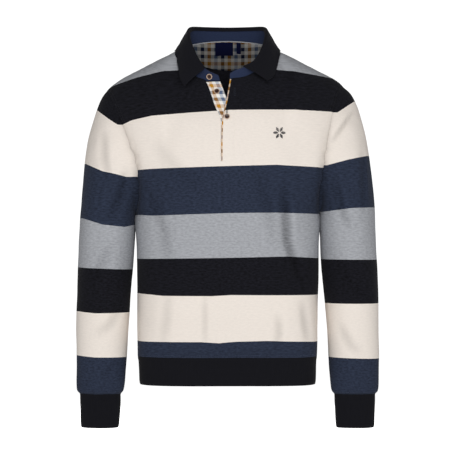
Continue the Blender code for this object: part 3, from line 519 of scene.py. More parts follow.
def follow(piece, region, reach):
    """Moves a smaller piece with the cloth that it lies on, and less with its distance from it."""
    widest = 0.0
    for vertex in piece.data.vertices:
        near = skin.find_nearest(vertex.co)[0]
        place, outward, height = on_skin(vertex.co)
        move = (place - near + outward * hang(region, place, outward)) * near_to(height, reach)
        vertex.co += move
        widest = max(widest, move.length)
    piece.data.update()
    return widest


# %% [markdown]
# ## The striped panels and sleeves
#
# Front, back and sleeves are cut so that the broad stripes run across each of them.
# The boundary of a stripe is nearly level, but it droops where the cloth turns over
# the shoulder, so its height is listed at a few places across. Each point of the
# cloth then gets one number that grows by one at every boundary, and the finish
# turns this number into the stripe's colour, with an edge as sharp as the knitting.

# %% Where the stripes change
BODY_STRIPES = [
    [(-0.238, -0.0764), (-0.186, -0.0606), (-0.126, -0.0477), (0, -0.0400), (0.126, -0.0478),
     (0.189, -0.0565), (0.230, -0.0610)],
    [(-0.218, -0.1591), (-0.194, -0.1486), (-0.153, -0.1400), (-0.060, -0.1335), (0.007, -0.1295),
     (0.125, -0.1278), (0.209, -0.1299), (0.221, -0.1324)],
    [(-0.181, -0.2481), (-0.145, -0.2462), (0.007, -0.2418), (0.098, -0.2391), (0.192, -0.2435)],
    [(-0.179, -0.3386), (-0.150, -0.3402), (0.007, -0.3351), (0.098, -0.3342), (0.181, -0.3366)],
    [(-0.179, -0.4270), (0.007, -0.4245), (0.120, -0.4218), (0.179, -0.4256)],
    [(-0.179, -0.4962), (-0.129, -0.4999), (-0.033, -0.5002), (0.007, -0.4982), (0.179, -0.4991)],
    [(-0.179, -0.5921), (-0.054, -0.5920), (-0.017, -0.5939), (0.021, -0.5907), (0.079, -0.5891),
     (0.176, -0.5928)],
]
BACK_STRIPES = [
    [(-0.238, -0.0764), (-0.186, -0.0600), (-0.126, -0.0460), (-0.060, -0.0310), (0, -0.0260),
     (0.060, -0.0310), (0.126, -0.0460), (0.189, -0.0560), (0.230, -0.0610)],
    *BODY_STRIPES[1:],
]
SLEEVE_TOP = [(0.0, 0.02)]
SLEEVE_RIGHT_STRIPES = [
    SLEEVE_TOP,
    [(-0.290, -0.1100), (-0.265, -0.1256), (-0.242, -0.1434), (-0.221, -0.1570)],
    [(-0.287, -0.2348), (-0.274, -0.2409), (-0.251, -0.2509), (-0.226, -0.2560), (-0.203, -0.2621),
     (-0.185, -0.2616)],
    [(-0.294, -0.3453), (-0.279, -0.3494), (-0.251, -0.3581), (-0.207, -0.3627), (-0.190, -0.3588)],
    [(-0.299, -0.4450), (-0.196, -0.4489)],
    [(-0.301, -0.5339), (-0.267, -0.5368), (-0.201, -0.5360)],
    [(-0.302, -0.6231), (-0.267, -0.6259), (-0.206, -0.6266)],
]
SLEEVE_LEFT_STRIPES = [
    SLEEVE_TOP,
    [(0.223, -0.1314), (0.257, -0.1080), (0.280, -0.0950)],
    [(0.200, -0.2385), (0.244, -0.2271), (0.285, -0.2184)],
    [(0.191, -0.3324), (0.249, -0.3248), (0.293, -0.3232)],
    [(0.196, -0.4283), (0.299, -0.4292)],
    [(0.200, -0.5170), (0.301, -0.5176)],
    [(0.206, -0.6266), (0.302, -0.6298)],
]
STRIPE_ENDS = (0.10, -0.72)


def stripe_number(lines, place):
    """0 to 1 in the first stripe, 1 to 2 in the second, and so on downwards."""
    heights = [np.interp(place.x, *zip(*line)) for line in lines]
    heights = [STRIPE_ENDS[0], *heights, STRIPE_ENDS[1]]
    for i, (above, below) in enumerate(zip(heights, heights[1:])):
        if place.z > below or i == len(heights) - 2:
            return i + (above - place.z) / (above - below)


def paint_stripes(piece, lines):
    """Keeps each point's stripe number."""
    keep_numbers(piece, "stripe", [stripe_number(lines, vertex.co) for vertex in piece.data.vertices])


def lay_knit(piece, name, radius):
    """A UV map in metres: across is the way round the tube, up is the height."""
    mesh = piece.data
    across = []
    for vertex in mesh.vertices:
        hub = hub_of(name, vertex.co)
        across.append(math.atan2(vertex.co.x - hub.x, -(vertex.co.y - hub.y)))
    layer = mesh.uv_layers.new(name="knit")
    for face in mesh.polygons:
        first = across[face.vertices[0]]
        for loop in face.loop_indices:
            vertex = mesh.loops[loop].vertex_index
            turn = across[vertex]
            turn += 2 * math.pi * round((first - turn) / (2 * math.pi))
            layer.data[loop].uv = (turn * radius, mesh.vertices[vertex].co.z)


STRIPES_OF = {
    "front_panel": BODY_STRIPES,
    "back_panel": BACK_STRIPES,
    "sleeve_right": SLEEVE_RIGHT_STRIPES,
    "sleeve_left": SLEEVE_LEFT_STRIPES,
}
BODY_RADIUS, SLEEVE_RADIUS, CUFF_RADIUS, NECK_RADIUS = 0.155, 0.058, 0.038, 0.150
KNIT_EDGE = 0.0006  # the rounding of the knit's cut edges


def report(piece, name, widest):
    """Keeps a finished piece and prints how far it moved."""
    pieces[name] = piece
    print(name, len(piece.data.polygons), "faces, moved up to", round(widest * 1000, 1), "mm")


pieces = {}
for name in KNIT_PIECES:
    piece = refine(coarse[name], 3, "SIMPLE")
    widest = drape(piece, "body" if name in PANELS else name)
    paint_stripes(piece, STRIPES_OF[name])
    round_cut_edges(piece, KNIT_EDGE)
    lay_knit(piece, name, BODY_RADIUS if name in PANELS else SLEEVE_RADIUS)
    report(piece, name, widest)

# %% [markdown]
# ## Rib, collar and placket
#
# The hem band and the cuffs are rib, folded double. The collar is a leaf that turns
# down over a stand, and the placket is two short strips over a slit. They all lie on
# the body, so they move with the skin below them, and nothing on it slides or sinks.

# %% The smaller pieces
def sharpen_tips(piece, reach=0.0026):
    """Keeps the lowest points of the collar's two tips sharp when the leaf is rounded."""
    mesh = piece.data
    sharp = mesh.attributes.new("crease_vert", "FLOAT", "POINT")
    for side in (RIGHT, LEFT):
        own = [vertex for vertex in mesh.vertices if vertex.co.x * side > 0]
        lowest = min(vertex.co.z for vertex in own)
        for vertex in own:
            if vertex.co.z < lowest + reach:
                sharp.data[vertex.index].value = 1.0


def edge_beside(piece, side, band=0.003):
    """For each point, how far it lies from the piece's own left or right edge at its height."""
    places = np.array([vertex.co for vertex in piece.data.vertices])
    level = np.abs(places[:, None, 2] - places[None, :, 2]) < band
    reach = np.where(level, side * places[None, :, 0], -np.inf).max(axis=1)
    return reach - side * places[:, 0]


def sew_flush(piece, proud=0.0014, ease=0.007, outwards=0.0005, down=0.0006):
    """Sinks the placket's sewn side and end into the front, so that no step shows there."""
    lowest = min(vertex.co.z for vertex in piece.data.vertices)
    for vertex, inset in zip(piece.data.vertices, edge_beside(piece, LEFT)):
        outward = on_skin(vertex.co)[1]
        side = max(0.0, 1 - inset / ease)
        end = max(0.0, 1 - (vertex.co.z - lowest) / ease)
        vertex.co -= outward * proud * max(side, end) ** 1.5
        vertex.co.x += outwards * side**6
        vertex.co.z -= down * end**6


# Where the middle of a mustard band of the check lies on each piece, across and up,
# and whether the piece is cut with its warp across. Across is counted from the middle
# of the body, or from a strip's own right edge.
CHECK_START = {
    "neck_facing": (-0.0382, 0.0205, False),
    "placket_under": (0.0105, -0.0795, False),
    "placket_facing": (0.0010, -0.1562, True),
}


def lay_check(piece, from_edge, start_across, start_up, turned):
    across = edge_beside(piece, RIGHT) if from_edge else [v.co.x for v in piece.data.vertices]
    layer = piece.data.uv_layers.new(name="knit")
    for loop in piece.data.loops:
        up = piece.data.vertices[loop.vertex_index].co.z
        place = (across[loop.vertex_index] - start_across, up - start_up)
        layer.data[loop.index].uv = place[::-1] if turned else place


TRIMS = {
    # piece: levels of subdivision, angle of its cut edges, rounding of its edges
    "hem_band": (2, 60, 0.0008),
    "cuff_right": (2, 60, 0.0008),
    "cuff_left": (2, 60, 0.0008),
    "collar_leaf": (2, 72, 0.0007),
    "collar_stand": (2, 60, 0.0006),
    "placket_under": (2, 60, 0.0003),
    "placket_top": (3, 60, 0.0006),
    "placket_facing": (3, 60, 0.0003),
    "neck_facing": (2, 60, 0.0003),
    "neck_label": (1, 60, 0.0003),
    "size_tab": (1, 60, 0.0003),
}
FOLLOW_REACH = 0.015
for name, (levels, angle, edge) in TRIMS.items():
    piece = coarse[name]
    region = "body" if name.startswith("placket") else name
    if name in RIB_PIECES:
        refine(piece, levels, "SIMPLE")
        widest = drape(piece, region)
    else:
        crease_edges(piece, angle)
        if name == "collar_leaf":
            sharpen_tips(piece)
        refine(piece, levels)
        widest = follow(piece, region, FOLLOW_REACH)
    if name == "placket_top":
        sew_flush(piece)
        paint_stripes(piece, BODY_STRIPES)
    round_cut_edges(piece, edge)
    if name in CHECK_START:
        lay_check(piece, name.startswith("placket"), *CHECK_START[name])
    else:
        lay_knit(piece, name, CUFF_RADIUS if name.startswith("cuff") else NECK_RADIUS)
    report(piece, name, widest)

# %% [markdown]
# ## Buttons
#
# A shirt button is turned from horn-like resin: a disc with a rim, a dished middle and
# four holes, sewn on with two loops of thread. One could be spun from its profile, but
# a cylinder whose top is inset and sunk has clean round holes after a Boolean. It is
# made flat at the middle of the world, and copied to the place of each button's solid.

# %% Buttons
BUTTON_RADIUS, BUTTON_HEIGHT = 0.00575, 0.0026
RIM, SLOPE, DISH = 0.0011, 0.0007, 0.0006  # widths of rim and slope, and the dish's depth
HOLE_RADIUS, HOLE_OFFSET = 0.0006, 0.0010
DRILL_LENGTH = 0.01
SEWING_RADIUS = 0.00028  # half the thickness of the doubled sewing thread
BUTTONS = ["button_collar", "button_middle", "button_lower"]


def joined(parts, name):
    """Makes one object of several."""
    bpy.ops.object.select_all(action="DESELECT")
    for part in parts:
        part.select_set(True)
    bpy.context.view_layer.objects.active = parts[0]
    if len(parts) > 1:
        bpy.ops.object.join()
    parts[0].name = parts[0].data.name = name
    return parts[0]


def turned_button():
    """A disc with a rim, a dish and four holes, lying flat."""
    bpy.ops.object.select_all(action="DESELECT")
    bpy.ops.mesh.primitive_cylinder_add(vertices=40, radius=BUTTON_RADIUS, depth=BUTTON_HEIGHT)
    button = bpy.context.object
    bpy.ops.object.mode_set(mode="EDIT")
    bpy.ops.mesh.select_mode(type="FACE")
    bpy.ops.mesh.select_all(action="DESELECT")
    build = bmesh.from_edit_mesh(button.data)
    for face in build.faces:
        face.select = face.normal.z > 0.9
    bmesh.update_edit_mesh(button.data)
    bpy.ops.mesh.inset(thickness=RIM)
    bpy.ops.mesh.inset(thickness=SLOPE, depth=-DISH)
    bpy.ops.mesh.select_mode(type="VERT")
    bpy.ops.object.mode_set(mode="OBJECT")
    drills = []
    for x, y in ((-1, -1), (1, -1), (-1, 1), (1, 1)):
        bpy.ops.mesh.primitive_cylinder_add(
            vertices=12,
            radius=HOLE_RADIUS,
            depth=DRILL_LENGTH,
            location=(x * HOLE_OFFSET, y * HOLE_OFFSET, 0),
        )
        drills.append(bpy.context.object)
    drill = joined(drills, "drill")
    applied(button, "BOOLEAN", object=drill, solver="EXACT")
    bpy.data.objects.remove(drill)
    round_cut_edges(button, 0.00018, 40)
    bpy.ops.object.shade_smooth_by_angle(angle=math.radians(40))
    layer = button.data.uv_layers.new(name="turned")
    for loop in button.data.loops:
        layer.data[loop.index].uv = button.data.vertices[loop.vertex_index].co.xy
    return button


def thread_loops():
    """Two loops of thread, each down through one hole and up through the one across."""
    loops = []
    for turn in (45, 135):
        bpy.ops.mesh.primitive_torus_add(
            major_radius=HOLE_OFFSET * math.sqrt(2),
            minor_radius=SEWING_RADIUS,
            major_segments=16,
            minor_segments=6,
            rotation=(math.radians(90), 0, math.radians(turn)),
        )
        loops.append(bpy.context.object)
    thread = joined(loops, "thread")
    bpy.ops.object.transform_apply(location=True, rotation=True, scale=True)
    bpy.ops.object.shade_smooth()
    return thread


def placed_copy(piece, name, place, outward):
    """A copy with its own mesh, turned to face outward, and with its place in its mesh."""
    copy = new_piece(name, piece.data.copy())
    copy.location = place
    copy.rotation_euler = Vector((0, 0, 1)).rotation_difference(outward).to_euler()
    only(copy)
    bpy.ops.object.transform_apply(location=True, rotation=True, scale=True)
    return copy


button, thread = turned_button(), thread_loops()
threads = []
for name in BUTTONS:
    points = np.array([vertex.co for vertex in coarse[name].data.vertices])
    middle = points.mean(axis=0)
    outward = np.linalg.svd(points - middle)[2][2]
    outward = Vector(outward * -np.sign(outward[1]))
    pieces[name] = placed_copy(button, name, Vector(middle), outward)
    threads.append(placed_copy(thread, "thread", Vector(middle), outward))
    bpy.data.objects.remove(coarse.pop(name))
sewing = {"button_threads": joined(threads, "button_threads")}
bpy.data.objects.remove(button)
bpy.data.objects.remove(thread)
print("buttons:", len(pieces[BUTTONS[0]].data.polygons), "faces each")

# %% [markdown]
# ## Stitches
#
# Two rows of stitches run round each armhole and above the hem band, and one above each
# cuff. A cover seam like this sinks into brushed cloth and takes on its tone, so it
# shows as a fine broken line. One stitch is a small bead of 24 faces. It is copied along
# a route that lies a few millimetres beside the seam, and each copy is turned to the
# route and to the surface. A buttonhole is the same bead laid crosswise, close together.

# %% Stitches
STITCH, PITCH, THREAD = 0.0022, 0.0030, 0.0005  # length, spacing and thickness, in metres
FLATNESS = 0.8  # height of a stitch against its width
# How far the middle of a stitch stands above the cloth, as a share of its thickness.
SEAM_PROUD, HOLE_PROUD, MOTIF_PROUD = 0.15, 0.20, 0.25
ARMHOLE_ROWS, HEM_ROWS, CUFF_ROWS = (0.0022, 0.0066), (0.0026, 0.0076), (0.0070,)  # from the seam
# Where the hub of a ring of stitches lies: y and z in an armhole, x and y in a cuff.
ARMHOLE_HUB, CUFF_HUB, HEM_HUB = (0.0, -0.19), (0.26, -0.03), (0.0, 0.0)


def bead():
    """One stitch as points and faces, one metre long and thick, along Z."""
    bpy.ops.object.select_all(action="DESELECT")
    bpy.ops.mesh.primitive_uv_sphere_add(segments=6, ring_count=4, radius=0.5)
    start = bpy.context.object
    points = np.array([vertex.co for vertex in start.data.vertices])
    faces = [list(face.vertices) for face in start.data.polygons]
    bpy.data.objects.remove(start)
    return points, faces


def laid_stitches(name, spots):
    """Many beads as one mesh. A spot is a place, a direction, an outward direction and a length."""
    points, faces = bead()
    all_points, all_faces = [], []
    for place, along, outward, length in spots:
        across = along.cross(outward).normalized()
        outward = across.cross(along).normalized()
        turn = np.array([across * THREAD, outward * THREAD * FLATNESS, along.normalized() * length])
        all_faces += [[corner + len(all_points) * len(points) for corner in face] for face in faces]
        all_points.append(points @ turn + np.array(place))
    mesh = bpy.data.meshes.new(name)
    mesh.from_pydata(np.concatenate(all_points).tolist(), [], all_faces)
    mesh.shade_smooth()
    sewing[name] = new_piece(name, mesh)
    print(name, len(spots), "stitches")


def surface_of(names):
    """The faces of some finished pieces, to lay things on."""
    points, faces = [], []
    for name in names:
        mesh = pieces[name].data
        faces += [[corner + len(points) for corner in face.vertices] for face in mesh.polygons]
        points += [vertex.co.copy() for vertex in mesh.vertices]
    return BVHTree.FromPolygons(points, faces)


def ring(points, axis, hub, count=720, rounds=12):
    """A closed, evened line through the points of a seam, by their angle round an axis."""
    points = np.array(points)
    u, v = [i for i in range(3) if i != axis]
    turns = np.arctan2(points[:, v] - hub[1], points[:, u] - hub[0])
    order = np.argsort(turns)
    angles = np.linspace(-math.pi, math.pi, count, endpoint=False)
    line = [np.interp(angles, turns[order], points[order, i], period=2 * math.pi) for i in range(3)]
    line = np.stack(line, axis=1)
    for _ in range(rounds):
        line = (np.roll(line, 1, axis=0) + 2 * line + np.roll(line, -1, axis=0)) / 4
    return line


def evenly(line, pitch):
    """Places at equal distances along a closed line."""
    closed = np.vstack([line, line[:1]])
    far = np.concatenate([[0], np.cumsum(np.linalg.norm(np.diff(closed, axis=0), axis=1))])
    marks = np.linspace(0, far[-1], round(far[-1] / pitch), endpoint=False)
    return [Vector([np.interp(mark, far, closed[:, i]) for i in range(3)]) for mark in marks]


def beside(line, region, offset, toward, surface, reach=0.004):
    """Stitches along a line, moved over the skin by offset to the side that toward points to."""
    places = evenly(line, PITCH)
    spots = []
    for before, here, after in zip([places[-1], *places], places, [*places[1:], places[0]]):
        outward = on_skin(here)[1]
        side = (after - before).cross(outward).normalized()
        side = -side if side.dot(toward) < 0 else side
        place, outward, _ = on_skin(here + side * offset)
        place += outward * hang(region, place, outward)
        near, normal, _, distance = surface.find_nearest(place)
        if near is None or distance > reach:
            continue
        normal = -normal if normal.dot(outward) < 0 else normal
        spots.append((near + normal * THREAD * SEAM_PROUD, after - before, normal, STITCH))
    return spots


def sew_rows(name, seam, region, offsets, toward, surface):
    """Rows of stitches at these offsets beside a seam, as one piece."""
    rows = [beside(seam, region, offset, toward, surface) for offset in offsets]
    laid_stitches(name, [spot for row in rows for spot in row])


panels = surface_of(PANELS)
for side, name in ((RIGHT, "right"), (LEFT, "left")):
    inwards = Vector((-side, 0, 0.4))
    seam = ring(seams[f"armhole_{name}"], 0, ARMHOLE_HUB)
    sew_rows(f"armhole_stitches_{name}", seam, "body", ARMHOLE_ROWS, inwards, panels)
    sleeve = f"sleeve_{name}"
    seam = ring(seams[f"cuff_{name}"], 2, (side * CUFF_HUB[0], CUFF_HUB[1]))
    sew_rows(f"cuff_stitches_{name}", seam, sleeve, CUFF_ROWS, UP, surface_of([sleeve]))
sew_rows("hem_stitches", ring(seams["hem"], 2, HEM_HUB), "body", HEM_ROWS, UP, panels)

# %% [markdown]
# ## Buttonholes
#
# The top placket has two buttonholes. Each is a slit between two close columns of
# crosswise stitches, with a wider bar at each end. The lower one has its button in it.

# %% Buttonholes
BUTTONHOLES = [(0.0141, -0.0922), (-0.0012, -0.1368)]  # middle of each, x and z
HOLE_LENGTH, HOLE_WIDTH = 0.0174, 0.0042
BAR_WIDTH, COLUMN_WIDTH, COLUMN_X = 0.96 * HOLE_WIDTH, 0.46 * HOLE_WIDTH, 0.26 * HOLE_WIDTH
HOLE_PITCH = 1.1 * THREAD


def buttonhole(x, z, surface):
    """Crosswise stitches down both sides of a slit, and a bar at each end."""
    spots = []
    rows = round(HOLE_LENGTH / HOLE_PITCH)
    for i in range(rows + 1):
        level = z + HOLE_LENGTH * (i / rows - 0.5)
        at_end = i in (0, 1, rows - 1, rows)
        columns, width = ((0,), BAR_WIDTH) if at_end else ((-COLUMN_X, COLUMN_X), COLUMN_WIDTH)
        for across in columns:
            near, normal, _, _ = surface.ray_cast(Vector((x + across, -FAR, level)), IN_LINE)
            spots.append((near + normal * THREAD * HOLE_PROUD, ACROSS, normal, width))
    return spots


placket = surface_of(["placket_top"])
laid_stitches("buttonholes", [spot for x, z in BUTTONHOLES for spot in buttonhole(x, z, placket)])

# %% [markdown]
# ## A small embroidered motif
#
# The chest carries a plain embroidered flower of six petals in navy thread. Machine
# embroidery lays satin stitches side by side across each petal. They are the same bead as
# before, longest where the petal is widest.

# %% The motif
MOTIF_START = Vector((0.1035, -FAR, -0.1750))  # straight in front of its middle
PETALS, PETAL_FROM, PETAL_TO, PETAL_WIDTH = 6, 0.0026, 0.0130, 0.0066
SATIN, NARROWEST = 0.00052, 0.0007  # from one satin stitch to the next, and the shortest one

spots = []
for petal in range(PETALS):
    turn = 2 * math.pi * petal / PETALS
    outwards = Vector((math.cos(turn), 0, math.sin(turn)))
    along = Vector((-math.sin(turn), 0, math.cos(turn)))
    for far in np.arange(PETAL_FROM, PETAL_TO, SATIN):
        share = (far - PETAL_FROM + SATIN) / (PETAL_TO - PETAL_FROM + SATIN)
        width = max(PETAL_WIDTH * math.sin(math.pi * share) ** 0.8, NARROWEST)
        near, normal, _, _ = panels.ray_cast(MOTIF_START + outwards * far, IN_LINE)
        flat = along - normal * along.dot(normal)
        spots.append((near + normal * THREAD * MOTIF_PROUD, flat, normal, width))
laid_stitches("chest_motif", spots)

# %% [markdown]
# ## Finishes
#
# A finish is a few nodes: colour, unevenness of colour, and a fine relief. Colours are
# written as sRGB hex and turned to the linear values that a shader works with. What is
# the same all over a surface is set on the shader's own socket.

# %% A colour and a node
def linear(hex_colour):
    """sRGB hex to linear red, green, blue and alpha."""
    channels = [int(hex_colour[i : i + 2], 16) / 255 for i in (0, 2, 4)]
    curve = [c / 12.92 if c <= 0.04045 else ((c + 0.055) / 1.055) ** 2.4 for c in channels]
    return (*curve, 1.0)


def new_finish(name, roughness, sheen=0.0, specular=0.12):
    """A material with its one shader, matt unless told otherwise."""
    material = bpy.data.materials.new(name)
    material.use_nodes = True
    shader = material.node_tree.nodes["Principled BSDF"]
    shader.inputs["Roughness"].default_value = roughness
    shader.inputs["Sheen Weight"].default_value = sheen
    shader.inputs["Sheen Roughness"].default_value = 0.5
    shader.inputs["Specular IOR Level"].default_value = specular
    return material, material.node_tree, shader


def add(tree, kind, settings=(), links=()):
    """Adds a shader node. A setting is an attribute's name, or an input's name or number."""
    node = tree.nodes.new(f"ShaderNode{kind}")
    for key, value in dict(settings).items():
        if isinstance(key, str) and hasattr(node, key):
            setattr(node, key, value)
        else:
            node.inputs[key].default_value = value
    for key, source in dict(links).items():
        tree.links.new(source, node.inputs[key])
    return node


def set_ramp(node, colours, places=None, blend="CONSTANT"):
    """Gives a colour ramp its colours, as hard steps of one width unless told otherwise."""
    places = places or [i / len(colours) for i in range(len(colours))]
    ramp = node.color_ramp
    ramp.interpolation = blend
    while len(ramp.elements) > 1:
        ramp.elements.remove(ramp.elements[-1])
    ramp.elements[0].position = places[0]
    ramp.elements[0].color = colours[0]
    for place, colour in zip(places[1:], colours[1:]):
        ramp.elements.new(place).color = colour


# %% [markdown]
# ### Brushed sweatshirt knit
#
# This is cotton jersey with a brushed back: dyed yarn, knitted in broad stripes. The
# grey is a melange of dark and pale fibres, so it is flecked much more than the plain
# colours. Its wales are about 1 mm apart, too fine for this picture, and are drawn
# 2.2 mm apart. A little sheen stands for the short fibres that catch light at the edges.
# Creases and seam valleys get painted shade: the cloth's hollow number darkens its colour there.

# %% The striped knit
BLACK, CREAM, BLUE, GREY = "15151B", "EFE6DD", "2B3243", "A5A7AC"
STRIPE_COLOURS = [GREY, BLACK, CREAM, BLUE, GREY, BLACK, CREAM, BLUE]
FLECK = {GREY: 0.95, BLACK: 3.0, CREAM: 0.17, BLUE: 1.8}
WALE, WALE_RELIEF = 0.0022, 0.00022
WAVE_TURN = 0.314  # a wave texture's scale for stripes one metre apart
CREASE_PAINTED_SHADE = 0.60  # the share of colour that painted shade takes where a crease is deepest


def fleck_of(tree, place, length, height, detail=3.0):
    """Noise around zero, stretched along the rows of the knit."""
    spread = add(
        tree, "VectorMath", {"operation": "MULTIPLY", 1: (1 / length, 1 / height, 1)}, {0: place}
    )
    grain = add(
        tree,
        "TexNoise",
        {"Scale": 1.0, "Detail": detail, "Roughness": 0.6},
        {"Vector": spread.outputs[0]},
    )
    return add(tree, "Math", {"operation": "SUBTRACT", 1: 0.5}, {0: grain.outputs[0]}).outputs[0]


def shaded(tree, colour, amount):
    """A colour, made lighter or darker by amount around zero."""
    factor = add(tree, "Math", {"operation": "ADD", 1: 1.0}, {0: amount})
    return add(
        tree, "VectorMath", {"operation": "SCALE"}, {0: colour, "Scale": factor.outputs[0]}
    ).outputs[0]


def flecked(tree, shader, colour, fleck, strength):
    """Gives the shader a colour that is made uneven by a fleck."""
    amount = add(tree, "Math", {"operation": "MULTIPLY", 1: strength}, {0: fleck})
    tree.links.new(shaded(tree, colour, amount.outputs[0]), shader.inputs["Base Color"])


def plain_tone(tree, hex_colour):
    """One colour, as the output of a node."""
    tone = add(tree, "RGB")
    tone.outputs[0].default_value = linear(hex_colour)
    return tone.outputs[0]


def by_stripe(tree, colours):
    """One colour for each stripe, chosen by the cloth's own stripe number."""
    stripe = add(tree, "Attribute", {"attribute_name": "stripe"}).outputs["Fac"]
    share = add(tree, "Math", {"operation": "DIVIDE", 1: len(colours)}, {0: stripe})
    ramp = add(tree, "ValToRGB", (), {0: share.outputs[0]})
    set_ramp(ramp, colours)
    return ramp.outputs["Color"]


def knit_relief(tree, shader, place, pitch, depth, row=0.8):
    """Wales and rows of stitches as a fine relief."""
    wales = add(
        tree,
        "TexWave",
        {"Scale": WAVE_TURN / pitch, "Distortion": 0.6, "Detail": 1.0, "bands_direction": "X"},
        {"Vector": place},
    )
    rows = add(
        tree,
        "TexWave",
        {"Scale": WAVE_TURN / (pitch * row), "Distortion": 0.9, "Detail": 1.0, "bands_direction": "Y"},
        {"Vector": place},
    )
    both = add(tree, "Math", {"operation": "MULTIPLY"}, {0: wales.outputs[1], 1: rows.outputs[1]})
    bump = add(tree, "Bump", {"Strength": 0.5, "Distance": depth}, {"Height": both.outputs[0]})
    tree.links.new(bump.outputs[0], shader.inputs["Normal"])


striped_knit, tree, shader = new_finish("brushed_sweatshirt_knit", 0.92, sheen=0.03)
yarn = by_stripe(tree, [linear(colour) for colour in STRIPE_COLOURS])
fleck = by_stripe(tree, [(FLECK[colour],) * 3 + (1.0,) for colour in STRIPE_COLOURS])
uv = add(tree, "UVMap", {"uv_map": "knit"}).outputs[0]
streaks = fleck_of(tree, uv, 0.0080, 0.0030)
strength = add(tree, "Math", {"operation": "MULTIPLY"}, {0: streaks, 1: fleck})
# Painted shade: the hollow number darkens the yarn's colour in creases and beside the armhole seams.
hollow = add(tree, "Attribute", {"attribute_name": "hollow"})
creased = add(
    tree,
    "Math",
    {"operation": "MULTIPLY_ADD", 1: -CREASE_PAINTED_SHADE},
    {0: hollow.outputs["Fac"], 2: strength.outputs[0]},
)
tree.links.new(shaded(tree, yarn, creased.outputs[0]), shader.inputs["Base Color"])
knit_relief(tree, shader, uv, WALE, WALE_RELIEF)
print("striped knit:", len(tree.nodes), "nodes")

# %% [markdown]
# ### Rib, collar cloth and stand
#
# Rib is knitted in columns that stand up and lie back in turn. On this garment they are
# fine, and pressed nearly flat. The collar leaf is a dense black knit, and the stand is
# a smooth navy twill, which shows a faint mottle of paler threads.

# %% Plain cloths
def plain_cloth(name, hex_colour, strength, mottle, pitch, depth, row=0.8, sheen=0.03):
    """Cloth of one colour: its mottle's strength, length and height, and its relief's spacing."""
    material, tree, shader = new_finish(name, 0.93, sheen)
    uv = add(tree, "UVMap", {"uv_map": "knit"}).outputs[0]
    flecked(tree, shader, plain_tone(tree, hex_colour), fleck_of(tree, uv, *mottle), strength)
    knit_relief(tree, shader, uv, pitch, depth, row)
    return material


rib_knit = plain_cloth("rib_knit_black", "131318", 0.5, (0.003, 0.03), 0.0030, 0.0007, row=6)
collar_cloth = plain_cloth("collar_knit_black", "15151B", 0.4, (0.006, 0.002), 0.0020, 0.0003)
stand_cloth = plain_cloth("stand_twill_navy", "28314A", 0.45, (0.005, 0.004), 0.0016, 0.0002)
tape = plain_cloth("woven_tape_navy", "1A2052", 0.25, (0.006, 0.002), 0.0012, 0.0001, sheen=0.2)

# %% [markdown]
# ### Checked shirting
#
# The facings are cut from a light woven cotton. Its check comes from coloured threads
# that cross: where a mustard stripe crosses a navy one the cloth turns brown, where it
# crosses white it stays pale. So one row of colours is laid along each direction, and
# the two are mixed half and half, as in the weave.

# %% The check
CHECK_BAND = 0.0070  # width of one band of threads
MUSTARD, WHITE, SKY, NAVY = "C68C2C", "F6F3EE", "7F93B2", "1B2746"
WARP = [MUSTARD, WHITE, SKY, WHITE, NAVY, WHITE]
WEFT = [MUSTARD, WHITE, NAVY, WHITE, NAVY, WHITE]


def thread_colours(tree, along, bands):
    """One direction's bands, repeated. The first band has its middle at zero."""
    turns = add(
        tree,
        "Math",
        {"operation": "MULTIPLY_ADD", 1: 1 / (CHECK_BAND * len(bands)), 2: 0.5 / len(bands)},
        {0: along},
    )
    turn = add(tree, "Math", {"operation": "FRACT"}, {0: turns.outputs[0]})
    ramp = add(tree, "ValToRGB", (), {0: turn.outputs[0]})
    set_ramp(ramp, [linear(colour) for colour in bands])
    return ramp.outputs["Color"]


check, tree, shader = new_finish("checked_cotton_shirting", 0.85, sheen=0.05)
uv = add(tree, "UVMap", {"uv_map": "knit"}).outputs[0]
parts = add(tree, "SeparateXYZ", (), {0: uv})
woven = add(
    tree,
    "Mix",
    {"data_type": "RGBA", "Factor": 0.5},
    {6: thread_colours(tree, parts.outputs[0], WARP), 7: thread_colours(tree, parts.outputs[1], WEFT)},
)
flecked(tree, shader, woven.outputs[2], fleck_of(tree, uv, 0.002, 0.002), 0.25)
knit_relief(tree, shader, uv, 0.0014, 0.0001)

# %% [markdown]
# ### Horn and thread
#
# The buttons are polyester resin cast to look like horn: dark brown in the dished
# middle, with a pale streaked rim, and polished. Sewing thread is smoother than the
# cloth around it, so it catches a little more light.

# %% Horn and thread
# The horn's tones from the middle outwards, by their share of the button's radius.
HORN = {0.0: "3E2218", 0.70: "3E2218", 0.88: "C9AF98", 1.0: "C9AF98"}
HORN_WAVE = 0.0022  # how far its streaks reach in and out

horn, tree, shader = new_finish("polyester_horn", 0.28, specular=0.5)
uv = add(tree, "UVMap", {"uv_map": "turned"}).outputs[0]
far = add(tree, "VectorMath", {"operation": "LENGTH"}, {0: uv})
streak = fleck_of(tree, uv, 0.0016, 0.0005)
wavy = add(
    tree,
    "Math",
    {"operation": "MULTIPLY_ADD", 1: HORN_WAVE},
    {0: streak, 2: far.outputs["Value"]},
)
share = add(tree, "Math", {"operation": "DIVIDE", 1: BUTTON_RADIUS}, {0: wavy.outputs[0]})
turned = add(tree, "ValToRGB", (), {0: share.outputs[0]})
set_ramp(turned, [linear(colour) for colour in HORN.values()], list(HORN), "EASE")
tree.links.new(turned.outputs[0], shader.inputs["Base Color"])

navy_thread, tree, shader = new_finish("buttonhole_thread_navy", 0.7, sheen=0.05, specular=0.25)
place = add(tree, "TexCoord").outputs["Object"]
flecked(tree, shader, plain_tone(tree, "171A26"), fleck_of(tree, place, 0.001, 0.001), 0.8)

seam_thread, tree, shader = new_finish("seam_thread", 0.7, sheen=0.05, specular=0.25)
THREAD_TONES = {GREY: "96989D", BLACK: "202026", CREAM: "DDD2C7", BLUE: "4A536E"}
yarn = by_stripe(tree, [linear(THREAD_TONES[colour]) for colour in STRIPE_COLOURS])
tree.links.new(yarn, shader.inputs["Base Color"])
